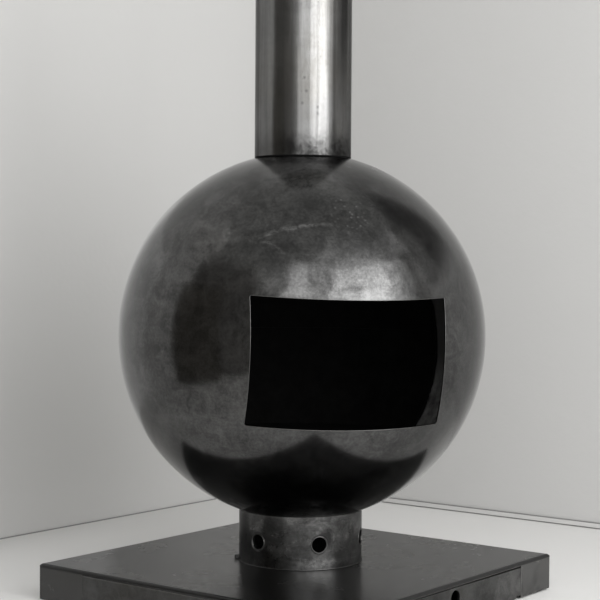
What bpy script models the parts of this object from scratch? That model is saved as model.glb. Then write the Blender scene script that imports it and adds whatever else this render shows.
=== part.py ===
"""A spherical steel fireplace: a ball with an open mouth that turns on a collar, over a low
square plinth with an ash drawer, under a straight flue pipe.

Metres, +Z up. The origin is the middle of the plinth on the floor, and the drawer faces -Y.
In the ball's own frame the origin is the ball's centre, and -Y looks out of the mouth."""

import math

import bmesh
import bpy
from mathutils import Matrix, Vector

# Fits
TOUCH_GAP = 0.0003
TURNING_GAP = 0.0006
RUNNING_GAP = 0.0015

# Plinth
PLINTH_SIDE = 0.760
PLINTH_HEIGHT = 0.076
PLINTH_SHEET = 0.004
PLINTH_FOLD_RADIUS = 0.007
PLINTH_CORNER_RADIUS = 0.0015
SKIRT_TO_FLOOR = 0.003
FRONT_WIDTH = 0.510
FRONT_THICKNESS = 0.004
FRONT_TOP_BAND = 0.008
FRONT_NOTCH_WIDTH = 0.017
FRONT_NOTCH_HEIGHT = 0.005
FINGER_HOLE_RADIUS = 0.0165
FINGER_HOLE_BELOW_TOP = 0.031
BASE_THICKNESS = 0.003
BASE_TO_FLOOR = 0.008
RAIL_THICKNESS = 0.003
RAIL_LEDGE = 0.020
PANEL_LEDGE = 0.024
FOOT_RADIUS = 0.020
FOOT_THICKNESS = 0.004
FOOT_INSET = 0.045
FOOT_NUT_RADIUS = 0.009
STUD_RADIUS = 0.005
STUD_LENGTH = 0.030

# Drawer and the pan in it
TRAY_HEIGHT = 0.046
TRAY_WALL = 0.002
TRAY_SIDE_GAP = 0.006
PAN_WIDTH = 0.260
PAN_DEPTH = 0.220
PAN_HEIGHT = 0.036
PAN_WALL = 0.0015
PAN_RIM = 0.006
PAN_TO_TRAY_BACK = 0.008

# Collar, and the air ring in it
COLLAR_RADIUS = 0.128
COLLAR_WALL = 0.005
COLLAR_HEIGHT = 0.108
COLLAR_BEAD = 0.0015
AIR_HOLE_COUNT = 6
AIR_HOLE_RADIUS = 0.017
AIR_HOLE_CHAMFER = 0.0015
AIR_HOLE_ABOVE_PLINTH = 0.051
AIR_HOLE_FIRST = math.radians(-5)
AIR_RING_WALL = 0.002
AIR_RING_HEIGHT = 0.074
AIR_RING_TRAVEL = math.radians(30)
AIR_TAB_ANGLE = math.radians(127.5)
AIR_TAB_WIDTH = 0.012
AIR_TAB_THICKNESS = 0.006
AIR_TAB_REACH = 0.009
AIR_TAB_ROUNDING = 0.003
GUIDE_WIDTH = 0.012
GUIDE_THICKNESS = 0.003
GUIDE_SCREW_COUNT = 3
GUIDE_SCREW_RADIUS = 0.003
GUIDE_SCREW_HEAD_RADIUS = 0.005
GUIDE_SCREW_HEAD_HEIGHT = 0.004
GUIDE_SCREW_LENGTH = 0.011

# Turntable under the ball
SEAT_WIDTH = 0.022
SEAT_THICKNESS = 0.0044
SEAT_LEG_WALL = 0.003
SEAT_LEG_HEIGHT = 0.007
SEAT_BELOW_COLLAR_TOP = 0.0216
SLIDE_RING_THICKNESS = 0.003
SLIDE_RING_OVERHANG = 0.0015
PIVOT_INSET = 0.005
PIVOT_WALL = 0.010

# Ball
BALL_RADIUS = 0.380
BALL_WALL = 0.005
BALL_TURN = math.radians(-36.6)
MOUTH_WIDTH = 0.384
MOUTH_HEIGHT = 0.246
MOUTH_DIP = math.radians(6.1)
MOUTH_ROLL = math.radians(0.8)
MOUTH_CORNER_RADIUS = 0.004
SEAM_STRIP_HEIGHT = 0.030
SEAM_STRIP_WALL = 0.003
SEAM_STRIP_SETBACK = 0.008
VENT_COUNT = 6
VENT_RADIUS = 0.010

# Inside the ball
HEARTH_BELOW_CENTRE = 0.215
HEARTH_THICKNESS = 0.005
HEARTH_SLOT_COUNT = 10
HEARTH_SLOT_LENGTH = 0.060
HEARTH_SLOT_WIDTH = 0.008
HEARTH_SLOT_CIRCLE = 0.165
GRATE_RADIUS = 0.088
GRATE_THICKNESS = 0.007
GRATE_BAR = 0.007
GRATE_GAP = 0.008
GRATE_RIM = 0.018
GRATE_SPIGOT_RADIUS = 0.068
GRATE_SPIGOT_WALL = 0.004
GRATE_SPIGOT_DEPTH = 0.004
CHUTE_RADIUS = 0.060
CHUTE_WALL = 0.003
CHUTE_FLANGE_RADIUS = 0.084
CHUTE_FLANGE_THICKNESS = 0.003
CHUTE_ABOVE_TRAY = 0.0035
FIREBACK_THICKNESS = 0.004
FIREBACK_BEHIND_CENTRE = 0.124
FIREBACK_LEAN = math.radians(7)
FIREBACK_TOP = 0.200
GUARD_LENGTH = 0.260
GUARD_HEIGHT = 0.030
GUARD_FOOT = 0.022
GUARD_THICKNESS = 0.004
GUARD_TO_HEARTH_EDGE = 0.021

# Flue and its damper
FLUE_RADIUS = 0.100
FLUE_WALL = 0.002
FLUE_LENGTH = 0.500
SPIGOT_WALL = 0.002
SPIGOT_INTO_PIPE = 0.045
SPIGOT_INTO_BALL = 0.046
SPIGOT_BEAD = 0.0011
DAMPER_CLEARANCE = 0.002
DAMPER_THICKNESS = 0.0025
SPINDLE_ABOVE_SPIGOT_END = 0.020
SPINDLE_RADIUS = 0.005
SLEEVE_WALL = 0.003
BUSH_WALL = 0.0035
BUSH_LENGTH = 0.008
LEVER_THICKNESS = 0.005
LEVER_WIDTH = 0.012
LEVER_LENGTH = 0.100
LEVER_HUB_RADIUS = 0.011
LEVER_EYE_RADIUS = 0.014
LEVER_EYE_HOLE = 0.008
LEVER_ANGLE = math.radians(45)

# Facets
BALL_STEPS = 48
BALL_ARCS = 9
RING_STEPS = 48
BORE_STEPS = 32
SMALL_STEPS = 16
STUD_STEPS = 12
SLOT_STEPS = 8

# Places that follow from the sizes
HALF_SIDE = PLINTH_SIDE / 2
FACE_INSIDE = HALF_SIDE - PLINTH_SHEET
TOP_UNDERSIDE = PLINTH_HEIGHT - PLINTH_SHEET
FRONT_TOP = PLINTH_HEIGHT - FRONT_TOP_BAND - RUNNING_GAP
FRONT_BOTTOM = SKIRT_TO_FLOOR
BASE_TOP = BASE_TO_FLOOR + BASE_THICKNESS
RAIL_WEB = FRONT_WIDTH / 2 + RUNNING_GAP + TOUCH_GAP
LEDGE_BOTTOM = BASE_TOP + TOUCH_GAP
LEDGE_TOP = LEDGE_BOTTOM + RAIL_THICKNESS
TRAY_HALF = RAIL_WEB - TRAY_SIDE_GAP
TRAY_BOTTOM = LEDGE_TOP + TOUCH_GAP
TRAY_TOP = TRAY_BOTTOM + TRAY_HEIGHT
TRAY_BACK = PAN_DEPTH / 2 + PAN_RIM + PAN_TO_TRAY_BACK
COLLAR_FOOT = PLINTH_HEIGHT + TOUCH_GAP
COLLAR_TOP = PLINTH_HEIGHT + COLLAR_HEIGHT
COLLAR_BORE = COLLAR_RADIUS - COLLAR_WALL
AIR_HOLE_Z = PLINTH_HEIGHT + AIR_HOLE_ABOVE_PLINTH
AIR_RING_RADIUS = COLLAR_BORE - TURNING_GAP
AIR_RING_BORE = AIR_RING_RADIUS - AIR_RING_WALL
AIR_RING_FOOT = COLLAR_FOOT + TOUCH_GAP
GUIDE_RADIUS = AIR_RING_BORE - TURNING_GAP
BALL_CENTRE = COLLAR_TOP + math.sqrt(BALL_RADIUS**2 - COLLAR_RADIUS**2)
INNER_RADIUS = BALL_RADIUS - BALL_WALL
SEAT_TOP = COLLAR_TOP - SEAT_BELOW_COLLAR_TOP
SLIDE_RING_FOOT = SEAT_TOP + TOUCH_GAP
PIVOT_FOOT = SLIDE_RING_FOOT + SLIDE_RING_THICKNESS + TOUCH_GAP
PIVOT_RADIUS = COLLAR_BORE - PIVOT_INSET
VENT_CIRCLE = (CHUTE_RADIUS + PIVOT_RADIUS - PIVOT_WALL) / 2
CHUTE_HOLE = CHUTE_RADIUS + TOUCH_GAP
PLINTH_HOLE = CHUTE_RADIUS + RUNNING_GAP
SPIGOT_RADIUS = FLUE_RADIUS - FLUE_WALL - TURNING_GAP
FLUE_HOLE = SPIGOT_RADIUS + TOUCH_GAP
HEARTH_TOP = -HEARTH_BELOW_CENTRE
HEARTH_FOOT = HEARTH_TOP - HEARTH_THICKNESS


def clear_scene():
    for old in list(bpy.data.objects):
        bpy.data.objects.remove(old, do_unlink=True)


def material(name, colour, roughness, metallic):
    made = bpy.data.materials.new(name)
    made.use_nodes = True
    shader = made.node_tree.nodes["Principled BSDF"]
    shader.inputs["Base Color"].default_value = (*colour, 1.0)
    shader.inputs["Roughness"].default_value = roughness
    shader.inputs["Metallic"].default_value = metallic
    return made


def new_object(name, bm, made_of, parent=None, at=(0, 0, 0)):
    """One named object from a bmesh, with its faces turned outwards and its round sides smooth.
    Its shape is given in its parent's frame, and its own origin is put at the point given."""
    bmesh.ops.recalc_face_normals(bm, faces=bm.faces)
    bmesh.ops.translate(bm, vec=-Vector(at), verts=bm.verts)
    mesh = bpy.data.meshes.new(name)
    bm.to_mesh(mesh)
    bm.free()
    mesh.shade_smooth()
    mesh.set_sharp_from_angle(angle=math.radians(32))
    obj = bpy.data.objects.new(name, mesh)
    bpy.context.scene.collection.objects.link(obj)
    if made_of:
        mesh.materials.append(made_of)
    obj.parent = parent
    obj.location = at
    return obj


def add_boolean(obj, bm, name, operation):
    """A cut or an addition. Its shape stays as a helper, which is no piece by itself."""
    helper = new_object(f"{obj.name} {name}", bm, None, obj.parent)
    helper.hide_render = True
    helper.display_type = "WIRE"
    modifier = obj.modifiers.new(name, "BOOLEAN")
    modifier.operation = operation
    modifier.solver = "EXACT"
    modifier.object = helper


def cut(obj, bm, name):
    add_boolean(obj, bm, name, "DIFFERENCE")


def join(obj, bm, name):
    add_boolean(obj, bm, name, "UNION")


def empty(name, at, turn=0.0, parent=None):
    made = bpy.data.objects.new(name, None)
    bpy.context.scene.collection.objects.link(made)
    made.parent = parent
    made.location = at
    made.rotation_euler.z = turn
    return made


def turned(profile, steps):
    """A closed outline of (radius, height) points turned round Z. A radius of 0 makes a pole."""
    bm = bmesh.new()
    poles = {height: bm.verts.new((0, 0, height)) for radius, height in profile if radius == 0}
    rings = []
    for step in range(steps):
        turn = math.tau * step / steps
        ring = []
        for radius, height in profile:
            if radius == 0:
                ring.append(poles[height])
                continue
            at = (radius * math.cos(turn), radius * math.sin(turn), height)
            ring.append(bm.verts.new(at))
        rings.append(ring)
    for step, ring in enumerate(rings):
        following = rings[(step + 1) % steps]
        for index in range(len(profile)):
            after = (index + 1) % len(profile)
            corners = [ring[index], ring[after], following[after], following[index]]
            corners = list(dict.fromkeys(corners))
            if len(corners) > 2:
                bm.faces.new(corners)
    return bm


def tube(outer, inner, low, high, steps=RING_STEPS):
    return turned([(outer, low), (outer, high), (inner, high), (inner, low)], steps)


def block(x, y, z):
    """A box between the two values given for each axis."""
    bm = bmesh.new()
    bmesh.ops.create_cube(bm, size=1)
    spans = (x, y, z)
    bmesh.ops.scale(bm, vec=[high - low for low, high in spans], verts=bm.verts)
    bmesh.ops.translate(bm, vec=[(low + high) / 2 for low, high in spans], verts=bm.verts)
    return bm


def rod(start, end, radius, steps=SMALL_STEPS, end_radius=None):
    """A round bar, or a cone, between two points."""
    start = Vector(start)
    along = Vector(end) - start
    bm = bmesh.new()
    bmesh.ops.create_cone(
        bm,
        cap_ends=True,
        segments=steps,
        radius1=radius,
        radius2=radius if end_radius is None else end_radius,
        depth=along.length,
    )
    turn = along.to_track_quat("Z", "Y").to_matrix().to_4x4()
    bmesh.ops.transform(bm, matrix=turn, verts=bm.verts)
    bmesh.ops.translate(bm, vec=start + along / 2, verts=bm.verts)
    return bm


def drawn(outline, axis, low, high):
    """A flat outline drawn out along an axis. Its points are the other two coordinates."""
    place = {
        "X": lambda a, b, c: (c, a, b),
        "Y": lambda a, b, c: (a, c, b),
        "Z": lambda a, b, c: (a, b, c),
    }[axis]
    bm = bmesh.new()
    near, far = ([bm.verts.new(place(a, b, at)) for a, b in outline] for at in (low, high))
    bm.faces.new(near)
    bm.faces.new(list(reversed(far)))
    for index in range(len(outline)):
        after = (index + 1) % len(outline)
        bm.faces.new([near[index], near[after], far[after], far[index]])
    return bm


def moved(bm, matrix):
    bmesh.ops.transform(bm, matrix=matrix, verts=bm.verts)
    return bm


def round_z(bm, angle):
    return moved(bm, Matrix.Rotation(angle, 4, "Z"))


def gathered(parts):
    """One bmesh that holds several separate shapes, for a cutter."""
    whole = bmesh.new()
    for part in parts:
        mesh = bpy.data.meshes.new("gathered")
        bmesh.ops.recalc_face_normals(part, faces=part.faces)
        part.to_mesh(mesh)
        part.free()
        whole.from_mesh(mesh)
        bpy.data.meshes.remove(mesh)
    return whole


def spread(count, first=0.0):
    """Equal turns round a circle."""
    return [first + math.tau * index / count for index in range(count)]


def polar(radius, angle, height=0.0):
    return (radius * math.cos(angle), radius * math.sin(angle), height)


def arc(radius, start_height, end_height, steps):
    """Points of a meridian of the ball from one height to another, both from its centre."""
    first = math.asin(start_height / radius)
    last = math.asin(end_height / radius)
    angles = [first + (last - first) * step / steps for step in range(steps + 1)]
    return [(radius * math.cos(angle), radius * math.sin(angle)) for angle in angles]


def height_at(radius, across):
    return math.sqrt(radius**2 - across**2)


def shell_profile(outer, inner, hole, side):
    """A hemisphere's wall, from the middle seam to a round hole. side is 1 above, -1 below."""
    seam = side * TOUCH_GAP / 2
    outside = arc(outer, seam, side * height_at(outer, hole), BALL_ARCS)
    inside = arc(inner, side * height_at(inner, hole), seam, BALL_ARCS)
    return outside + inside


def wall_radius(height, side=-1):
    """Radius of the ball's faceted inner wall at a height from its centre."""
    hole = CHUTE_HOLE if side < 0 else FLUE_HOLE
    seam = side * TOUCH_GAP / 2
    points = arc(INNER_RADIUS, seam, side * height_at(INNER_RADIUS, hole), BALL_ARCS)
    for (near, low), (far, high) in zip(points, points[1:]):
        if abs(low) <= abs(height) <= abs(high):
            share = (height - low) / (high - low)
            return near + (far - near) * share
    return points[0][0]


def mouth_cutter(margin=0.0):
    """The straight square-cornered prism that the mouth is cut with. It dips to the front, and
    leans a little clockwise."""
    across = MOUTH_WIDTH / 2 + margin
    up = MOUTH_HEIGHT / 2 + margin
    bm = block((-across, across), (-2 * BALL_RADIUS, -BALL_RADIUS / 4), (-up, up))
    edges = [edge for edge in bm.edges if abs(edge.verts[0].co.y - edge.verts[1].co.y) > up]
    bmesh.ops.bevel(
        bm, geom=edges, offset=MOUTH_CORNER_RADIUS, segments=3, profile=0.5, affect="EDGES"
    )
    lean = Matrix.Rotation(MOUTH_DIP, 4, "X") @ Matrix.Rotation(MOUTH_ROLL, 4, "Y")
    return moved(bm, lean)


def make_plinth(steel, dark, zinc):
    half = HALF_SIDE
    bm = block((-half, half), (-half, half), (SKIRT_TO_FLOOR, PLINTH_HEIGHT))
    top_edges = [e for e in bm.edges if all(v.co.z > TOP_UNDERSIDE for v in e.verts)]
    bmesh.ops.bevel(
        bm, geom=top_edges, offset=PLINTH_FOLD_RADIUS, segments=4, profile=0.5, affect="EDGES"
    )
    fold_height = 2 * PLINTH_FOLD_RADIUS
    corners = [e for e in bm.edges if abs(e.verts[0].co.z - e.verts[1].co.z) > fold_height]
    bmesh.ops.bevel(
        bm, geom=corners, offset=PLINTH_CORNER_RADIUS, segments=2, profile=0.5, affect="EDGES"
    )
    case = new_object("plinth_case", bm, steel)
    inside = block(
        (-FACE_INSIDE, FACE_INSIDE),
        (-FACE_INSIDE, FACE_INSIDE),
        (-PLINTH_HEIGHT, TOP_UNDERSIDE),
    )
    cut(case, inside, "hollow")
    opening_half = FRONT_WIDTH / 2 + RUNNING_GAP
    opening_top = FRONT_TOP + RUNNING_GAP
    through = (-half - PLINTH_SHEET, -FACE_INSIDE + PLINTH_SHEET)
    across = (-opening_half, opening_half)
    cut(case, block(across, through, (-PLINTH_HEIGHT, opening_top)), "drawer opening")
    cut(case, block(through, across, (-PLINTH_HEIGHT, opening_top)), "panel opening")
    cut(case, rod((0, 0, 0), (0, 0, 2 * PLINTH_HEIGHT), PLINTH_HOLE, BORE_STEPS), "ash hole")

    edge = FACE_INSIDE - TOUCH_GAP
    plate = block((-edge, edge), (-edge, edge), (BASE_TO_FLOOR, BASE_TOP))
    base = new_object("base_plate", plate, dark)
    foot_at = half - FOOT_INSET
    feet = [(x, y) for x in (-foot_at, foot_at) for y in (-foot_at, foot_at)]
    holes = [
        rod((x, y, 0), (x, y, PLINTH_HEIGHT), STUD_RADIUS + TOUCH_GAP, STUD_STEPS) for x, y in feet
    ]
    cut(base, gathered(holes), "foot holes")
    nut_top = BASE_TO_FLOOR - TOUCH_GAP
    foot_profile = [
        (0, 0),
        (FOOT_RADIUS, 0),
        (FOOT_RADIUS, FOOT_THICKNESS),
        (FOOT_NUT_RADIUS, FOOT_THICKNESS),
        (FOOT_NUT_RADIUS, nut_top),
        (STUD_RADIUS, nut_top),
        (STUD_RADIUS, STUD_LENGTH),
        (0, STUD_LENGTH),
    ]
    for number, (x, y) in enumerate(feet, 1):
        bm = moved(turned(foot_profile, STUD_STEPS), Matrix.Translation((x, y, 0)))
        new_object(f"levelling_foot_{number}", bm, zinc, at=(x, y, 0))

    top = TOP_UNDERSIDE - TOUCH_GAP
    web = RAIL_WEB
    back = web + RAIL_THICKNESS
    rail = [
        (web - RAIL_LEDGE, LEDGE_BOTTOM),
        (back, LEDGE_BOTTOM),
        (back, top - RAIL_THICKNESS),
        (back + RAIL_LEDGE, top - RAIL_THICKNESS),
        (back + RAIL_LEDGE, top),
        (web, top),
        (web, LEDGE_TOP),
        (web - RAIL_LEDGE, LEDGE_TOP),
    ]
    for side, name in ((-1, "drawer_rail_left"), (1, "drawer_rail_right")):
        outline = [(side * x, z) for x, z in rail]
        new_object(name, drawn(outline, "Y", -edge, edge), dark)

    panel_back = -half + FRONT_THICKNESS
    panel = [
        (-half, FRONT_BOTTOM),
        (panel_back, FRONT_BOTTOM),
        (panel_back, LEDGE_BOTTOM),
        (panel_back + PANEL_LEDGE, LEDGE_BOTTOM),
        (panel_back + PANEL_LEDGE, LEDGE_TOP),
        (panel_back, LEDGE_TOP),
        (panel_back, FRONT_TOP),
        (-half, FRONT_TOP),
    ]
    front_half = FRONT_WIDTH / 2
    new_object("side_panel", drawn(panel, "Y", -front_half, front_half), steel)


def make_drawer(steel, dark, parent):
    """The drawer, drawn at its closed place. Its origin is the middle of its front."""
    half = FRONT_WIDTH / 2
    face = -HALF_SIDE
    back = face + FRONT_THICKNESS
    front = new_object(
        "drawer_front", block((-half, half), (face, back), (FRONT_BOTTOM, FRONT_TOP)), steel, parent
    )
    hole_z = PLINTH_HEIGHT - FINGER_HOLE_BELOW_TOP
    finger_hole = rod((0, face - half, hole_z), (0, 0, hole_z), FINGER_HOLE_RADIUS, BORE_STEPS)
    cut(front, finger_hole, "finger hole")
    notches = [
        block(
            sorted((side * (half + FRONT_THICKNESS), side * (half - FRONT_NOTCH_WIDTH))),
            (face - half, 0),
            (-PLINTH_HEIGHT, FRONT_BOTTOM + FRONT_NOTCH_HEIGHT),
        )
        for side in (-1, 1)
    ]
    cut(front, gathered(notches), "lower corners")

    tray_front = back + TOUCH_GAP
    tray = new_object(
        "drawer_tray",
        block((-TRAY_HALF, TRAY_HALF), (tray_front, TRAY_BACK), (TRAY_BOTTOM, TRAY_TOP)),
        dark,
        parent,
    )
    hollow = block(
        (TRAY_WALL - TRAY_HALF, TRAY_HALF - TRAY_WALL),
        (tray_front + TRAY_WALL, TRAY_BACK - TRAY_WALL),
        (TRAY_BOTTOM + TRAY_WALL, 2 * TRAY_TOP),
    )
    cut(tray, hollow, "hollow")
    finger_room = rod(
        (0, tray_front - TRAY_WALL, hole_z),
        (0, tray_front + 2 * TRAY_WALL, hole_z),
        FINGER_HOLE_RADIUS + RUNNING_GAP,
        BORE_STEPS,
    )
    cut(tray, finger_room, "finger room")

    pan_foot = TRAY_BOTTOM + TRAY_WALL + TOUCH_GAP
    pan_top = pan_foot + PAN_HEIGHT
    wide = PAN_WIDTH / 2
    deep = PAN_DEPTH / 2
    body = block((-wide, wide), (-deep, deep), (pan_foot, pan_top))
    pan = new_object("ash_pan", body, dark, parent)
    rim = block(
        (-wide - PAN_RIM, wide + PAN_RIM),
        (-deep - PAN_RIM, deep + PAN_RIM),
        (pan_top - PAN_WALL, pan_top),
    )
    join(pan, rim, "rim")
    pan_hollow = block(
        (PAN_WALL - wide, wide - PAN_WALL),
        (PAN_WALL - deep, deep - PAN_WALL),
        (pan_foot + PAN_WALL, 2 * pan_top),
    )
    cut(pan, pan_hollow, "hollow")


def make_collar(steel, dark, brass, screw_steel):
    top_inside = BALL_CENTRE - height_at(BALL_RADIUS, COLLAR_BORE) - TOUCH_GAP
    top_outside = COLLAR_TOP - TOUCH_GAP
    profile = [
        (COLLAR_BORE, COLLAR_FOOT),
        (COLLAR_RADIUS + COLLAR_BEAD, COLLAR_FOOT),
        (COLLAR_RADIUS, COLLAR_FOOT + COLLAR_BEAD),
        (COLLAR_RADIUS, top_outside),
        (COLLAR_BORE, top_inside),
    ]
    collar = new_object("collar", turned(profile, RING_STEPS), steel)
    holes = []
    chamfers = []
    for angle in spread(AIR_HOLE_COUNT, AIR_HOLE_FIRST):
        inside = polar(AIR_RING_BORE, angle, AIR_HOLE_Z)
        outside = polar(COLLAR_RADIUS + COLLAR_WALL, angle, AIR_HOLE_Z)
        holes.append(rod(inside, outside, AIR_HOLE_RADIUS))
        flat = COLLAR_RADIUS - height_at(COLLAR_RADIUS, AIR_HOLE_RADIUS)
        bottom = polar(COLLAR_RADIUS - AIR_HOLE_CHAMFER - flat, angle, AIR_HOLE_Z)
        widening = AIR_HOLE_CHAMFER + flat + COLLAR_WALL
        wide = AIR_HOLE_RADIUS + widening
        chamfers.append(rod(bottom, outside, AIR_HOLE_RADIUS, end_radius=wide))
    cut(collar, gathered(holes), "air holes")
    cut(collar, gathered(chamfers), "air hole edges")
    room = math.asin((AIR_TAB_WIDTH / 2 + RUNNING_GAP) / COLLAR_BORE)
    slot_top = AIR_RING_FOOT + AIR_TAB_THICKNESS + RUNNING_GAP
    start = AIR_TAB_ANGLE - AIR_RING_TRAVEL - room
    end = AIR_TAB_ANGLE + room
    turns = [start + (end - start) * step / SLOT_STEPS for step in range(SLOT_STEPS + 1)]
    near = COLLAR_BORE - AIR_RING_WALL
    far = COLLAR_RADIUS + COLLAR_WALL
    outline = [polar(near, turn)[:2] for turn in turns]
    outline += [polar(far, turn)[:2] for turn in reversed(turns)]
    cut(collar, drawn(outline, "Z", 0, slot_top), "lever slot")

    guide_top = COLLAR_FOOT + GUIDE_THICKNESS
    guide = new_object(
        "air_ring_guide",
        tube(GUIDE_RADIUS, GUIDE_RADIUS - GUIDE_WIDTH, COLLAR_FOOT, guide_top),
        dark,
    )
    screw_circle = GUIDE_RADIUS - GUIDE_WIDTH / 2
    screws = [polar(screw_circle, angle) for angle in spread(GUIDE_SCREW_COUNT, math.pi / 2)]
    for drilled in (guide, bpy.data.objects["plinth_case"]):
        drills = [
            rod((x, y, 0), (x, y, COLLAR_TOP), GUIDE_SCREW_RADIUS + TOUCH_GAP, STUD_STEPS)
            for x, y, _ in screws
        ]
        cut(drilled, gathered(drills), "screw holes")
    head = guide_top + TOUCH_GAP
    screw_profile = [
        (0, head - GUIDE_SCREW_LENGTH),
        (GUIDE_SCREW_RADIUS, head - GUIDE_SCREW_LENGTH),
        (GUIDE_SCREW_RADIUS, head),
        (GUIDE_SCREW_HEAD_RADIUS, head),
        (GUIDE_SCREW_HEAD_RADIUS, head + GUIDE_SCREW_HEAD_HEIGHT),
        (0, head + GUIDE_SCREW_HEAD_HEIGHT),
    ]
    for number, place in enumerate(screws, 1):
        bm = moved(turned(screw_profile, STUD_STEPS), Matrix.Translation(place))
        new_object(f"guide_screw_{number}", bm, screw_steel, at=place)

    seat_radius = COLLAR_BORE - TOUCH_GAP
    seat_foot = SEAT_TOP - SEAT_THICKNESS
    seat = [
        (seat_radius, seat_foot - SEAT_LEG_HEIGHT),
        (seat_radius, SEAT_TOP),
        (seat_radius - SEAT_WIDTH, SEAT_TOP),
        (seat_radius - SEAT_WIDTH, seat_foot),
        (seat_radius - SEAT_LEG_WALL, seat_foot),
        (seat_radius - SEAT_LEG_WALL, seat_foot - SEAT_LEG_HEIGHT),
    ]
    new_object("turntable_seat", turned(seat, RING_STEPS), dark)
    outer = PIVOT_RADIUS + SLIDE_RING_OVERHANG
    inner = PIVOT_RADIUS - PIVOT_WALL - SLIDE_RING_OVERHANG
    slide_top = SLIDE_RING_FOOT + SLIDE_RING_THICKNESS
    new_object("slide_ring", tube(outer, inner, SLIDE_RING_FOOT, slide_top), brass)


def make_air_ring(dark, parent):
    foot = AIR_RING_FOOT
    ring = new_object(
        "air_ring", tube(AIR_RING_RADIUS, AIR_RING_BORE, foot, foot + AIR_RING_HEIGHT), dark, parent
    )
    holes = [
        rod(
            polar(AIR_RING_BORE - COLLAR_WALL, angle, AIR_HOLE_Z),
            polar(COLLAR_RADIUS, angle, AIR_HOLE_Z),
            AIR_HOLE_RADIUS,
        )
        for angle in spread(AIR_HOLE_COUNT, AIR_HOLE_FIRST)
    ]
    cut(ring, gathered(holes), "air holes")
    half = AIR_TAB_WIDTH / 2
    tab = block(
        (AIR_RING_RADIUS - AIR_RING_WALL / 2, COLLAR_RADIUS + AIR_TAB_REACH),
        (-half, half),
        (foot, foot + AIR_TAB_THICKNESS),
    )
    upright = [e for e in tab.edges if all(v.co.x > COLLAR_RADIUS for v in e.verts)]
    upright = [e for e in upright if abs(e.verts[0].co.z - e.verts[1].co.z) > AIR_TAB_THICKNESS / 2]
    bmesh.ops.bevel(
        tab, geom=upright, offset=AIR_TAB_ROUNDING, segments=3, profile=0.5, affect="EDGES"
    )
    join(ring, round_z(tab, AIR_TAB_ANGLE), "lever tab")


def make_ball(steel, dark, parent):
    lower = new_object(
        "lower_shell",
        turned(shell_profile(BALL_RADIUS, INNER_RADIUS, CHUTE_HOLE, -1), BALL_STEPS),
        steel,
        parent,
    )
    upper = new_object(
        "upper_shell",
        turned(shell_profile(BALL_RADIUS, INNER_RADIUS, FLUE_HOLE, 1), BALL_STEPS),
        steel,
        parent,
    )
    for shell in (lower, upper):
        cut(shell, mouth_cutter(), "mouth")
    vents = []
    for angle in spread(VENT_COUNT, math.pi / VENT_COUNT):
        x, y, _ = polar(VENT_CIRCLE, angle)
        below = (x, y, -BALL_RADIUS - BALL_WALL)
        vents.append(rod(below, (x, y, HEARTH_FOOT), VENT_RADIUS, STUD_STEPS))
    cut(lower, gathered(vents), "air vents")

    half = SEAM_STRIP_HEIGHT / 2
    strip_radius = wall_radius(-half) - TOUCH_GAP
    strip = new_object(
        "seam_strip",
        tube(strip_radius, strip_radius - SEAM_STRIP_WALL, -half, half, BALL_STEPS),
        dark,
        parent,
    )
    cut(strip, mouth_cutter(SEAM_STRIP_SETBACK), "mouth")

    pivot_foot = PIVOT_FOOT - BALL_CENTRE
    inner = PIVOT_RADIUS - PIVOT_WALL
    pivot = [
        (PIVOT_RADIUS, pivot_foot),
        (PIVOT_RADIUS, -height_at(BALL_RADIUS, PIVOT_RADIUS) - TOUCH_GAP),
        (inner, -height_at(BALL_RADIUS, inner) - TOUCH_GAP),
        (inner, pivot_foot),
    ]
    new_object("pivot_ring", turned(pivot, BALL_STEPS), dark, parent)


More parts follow.
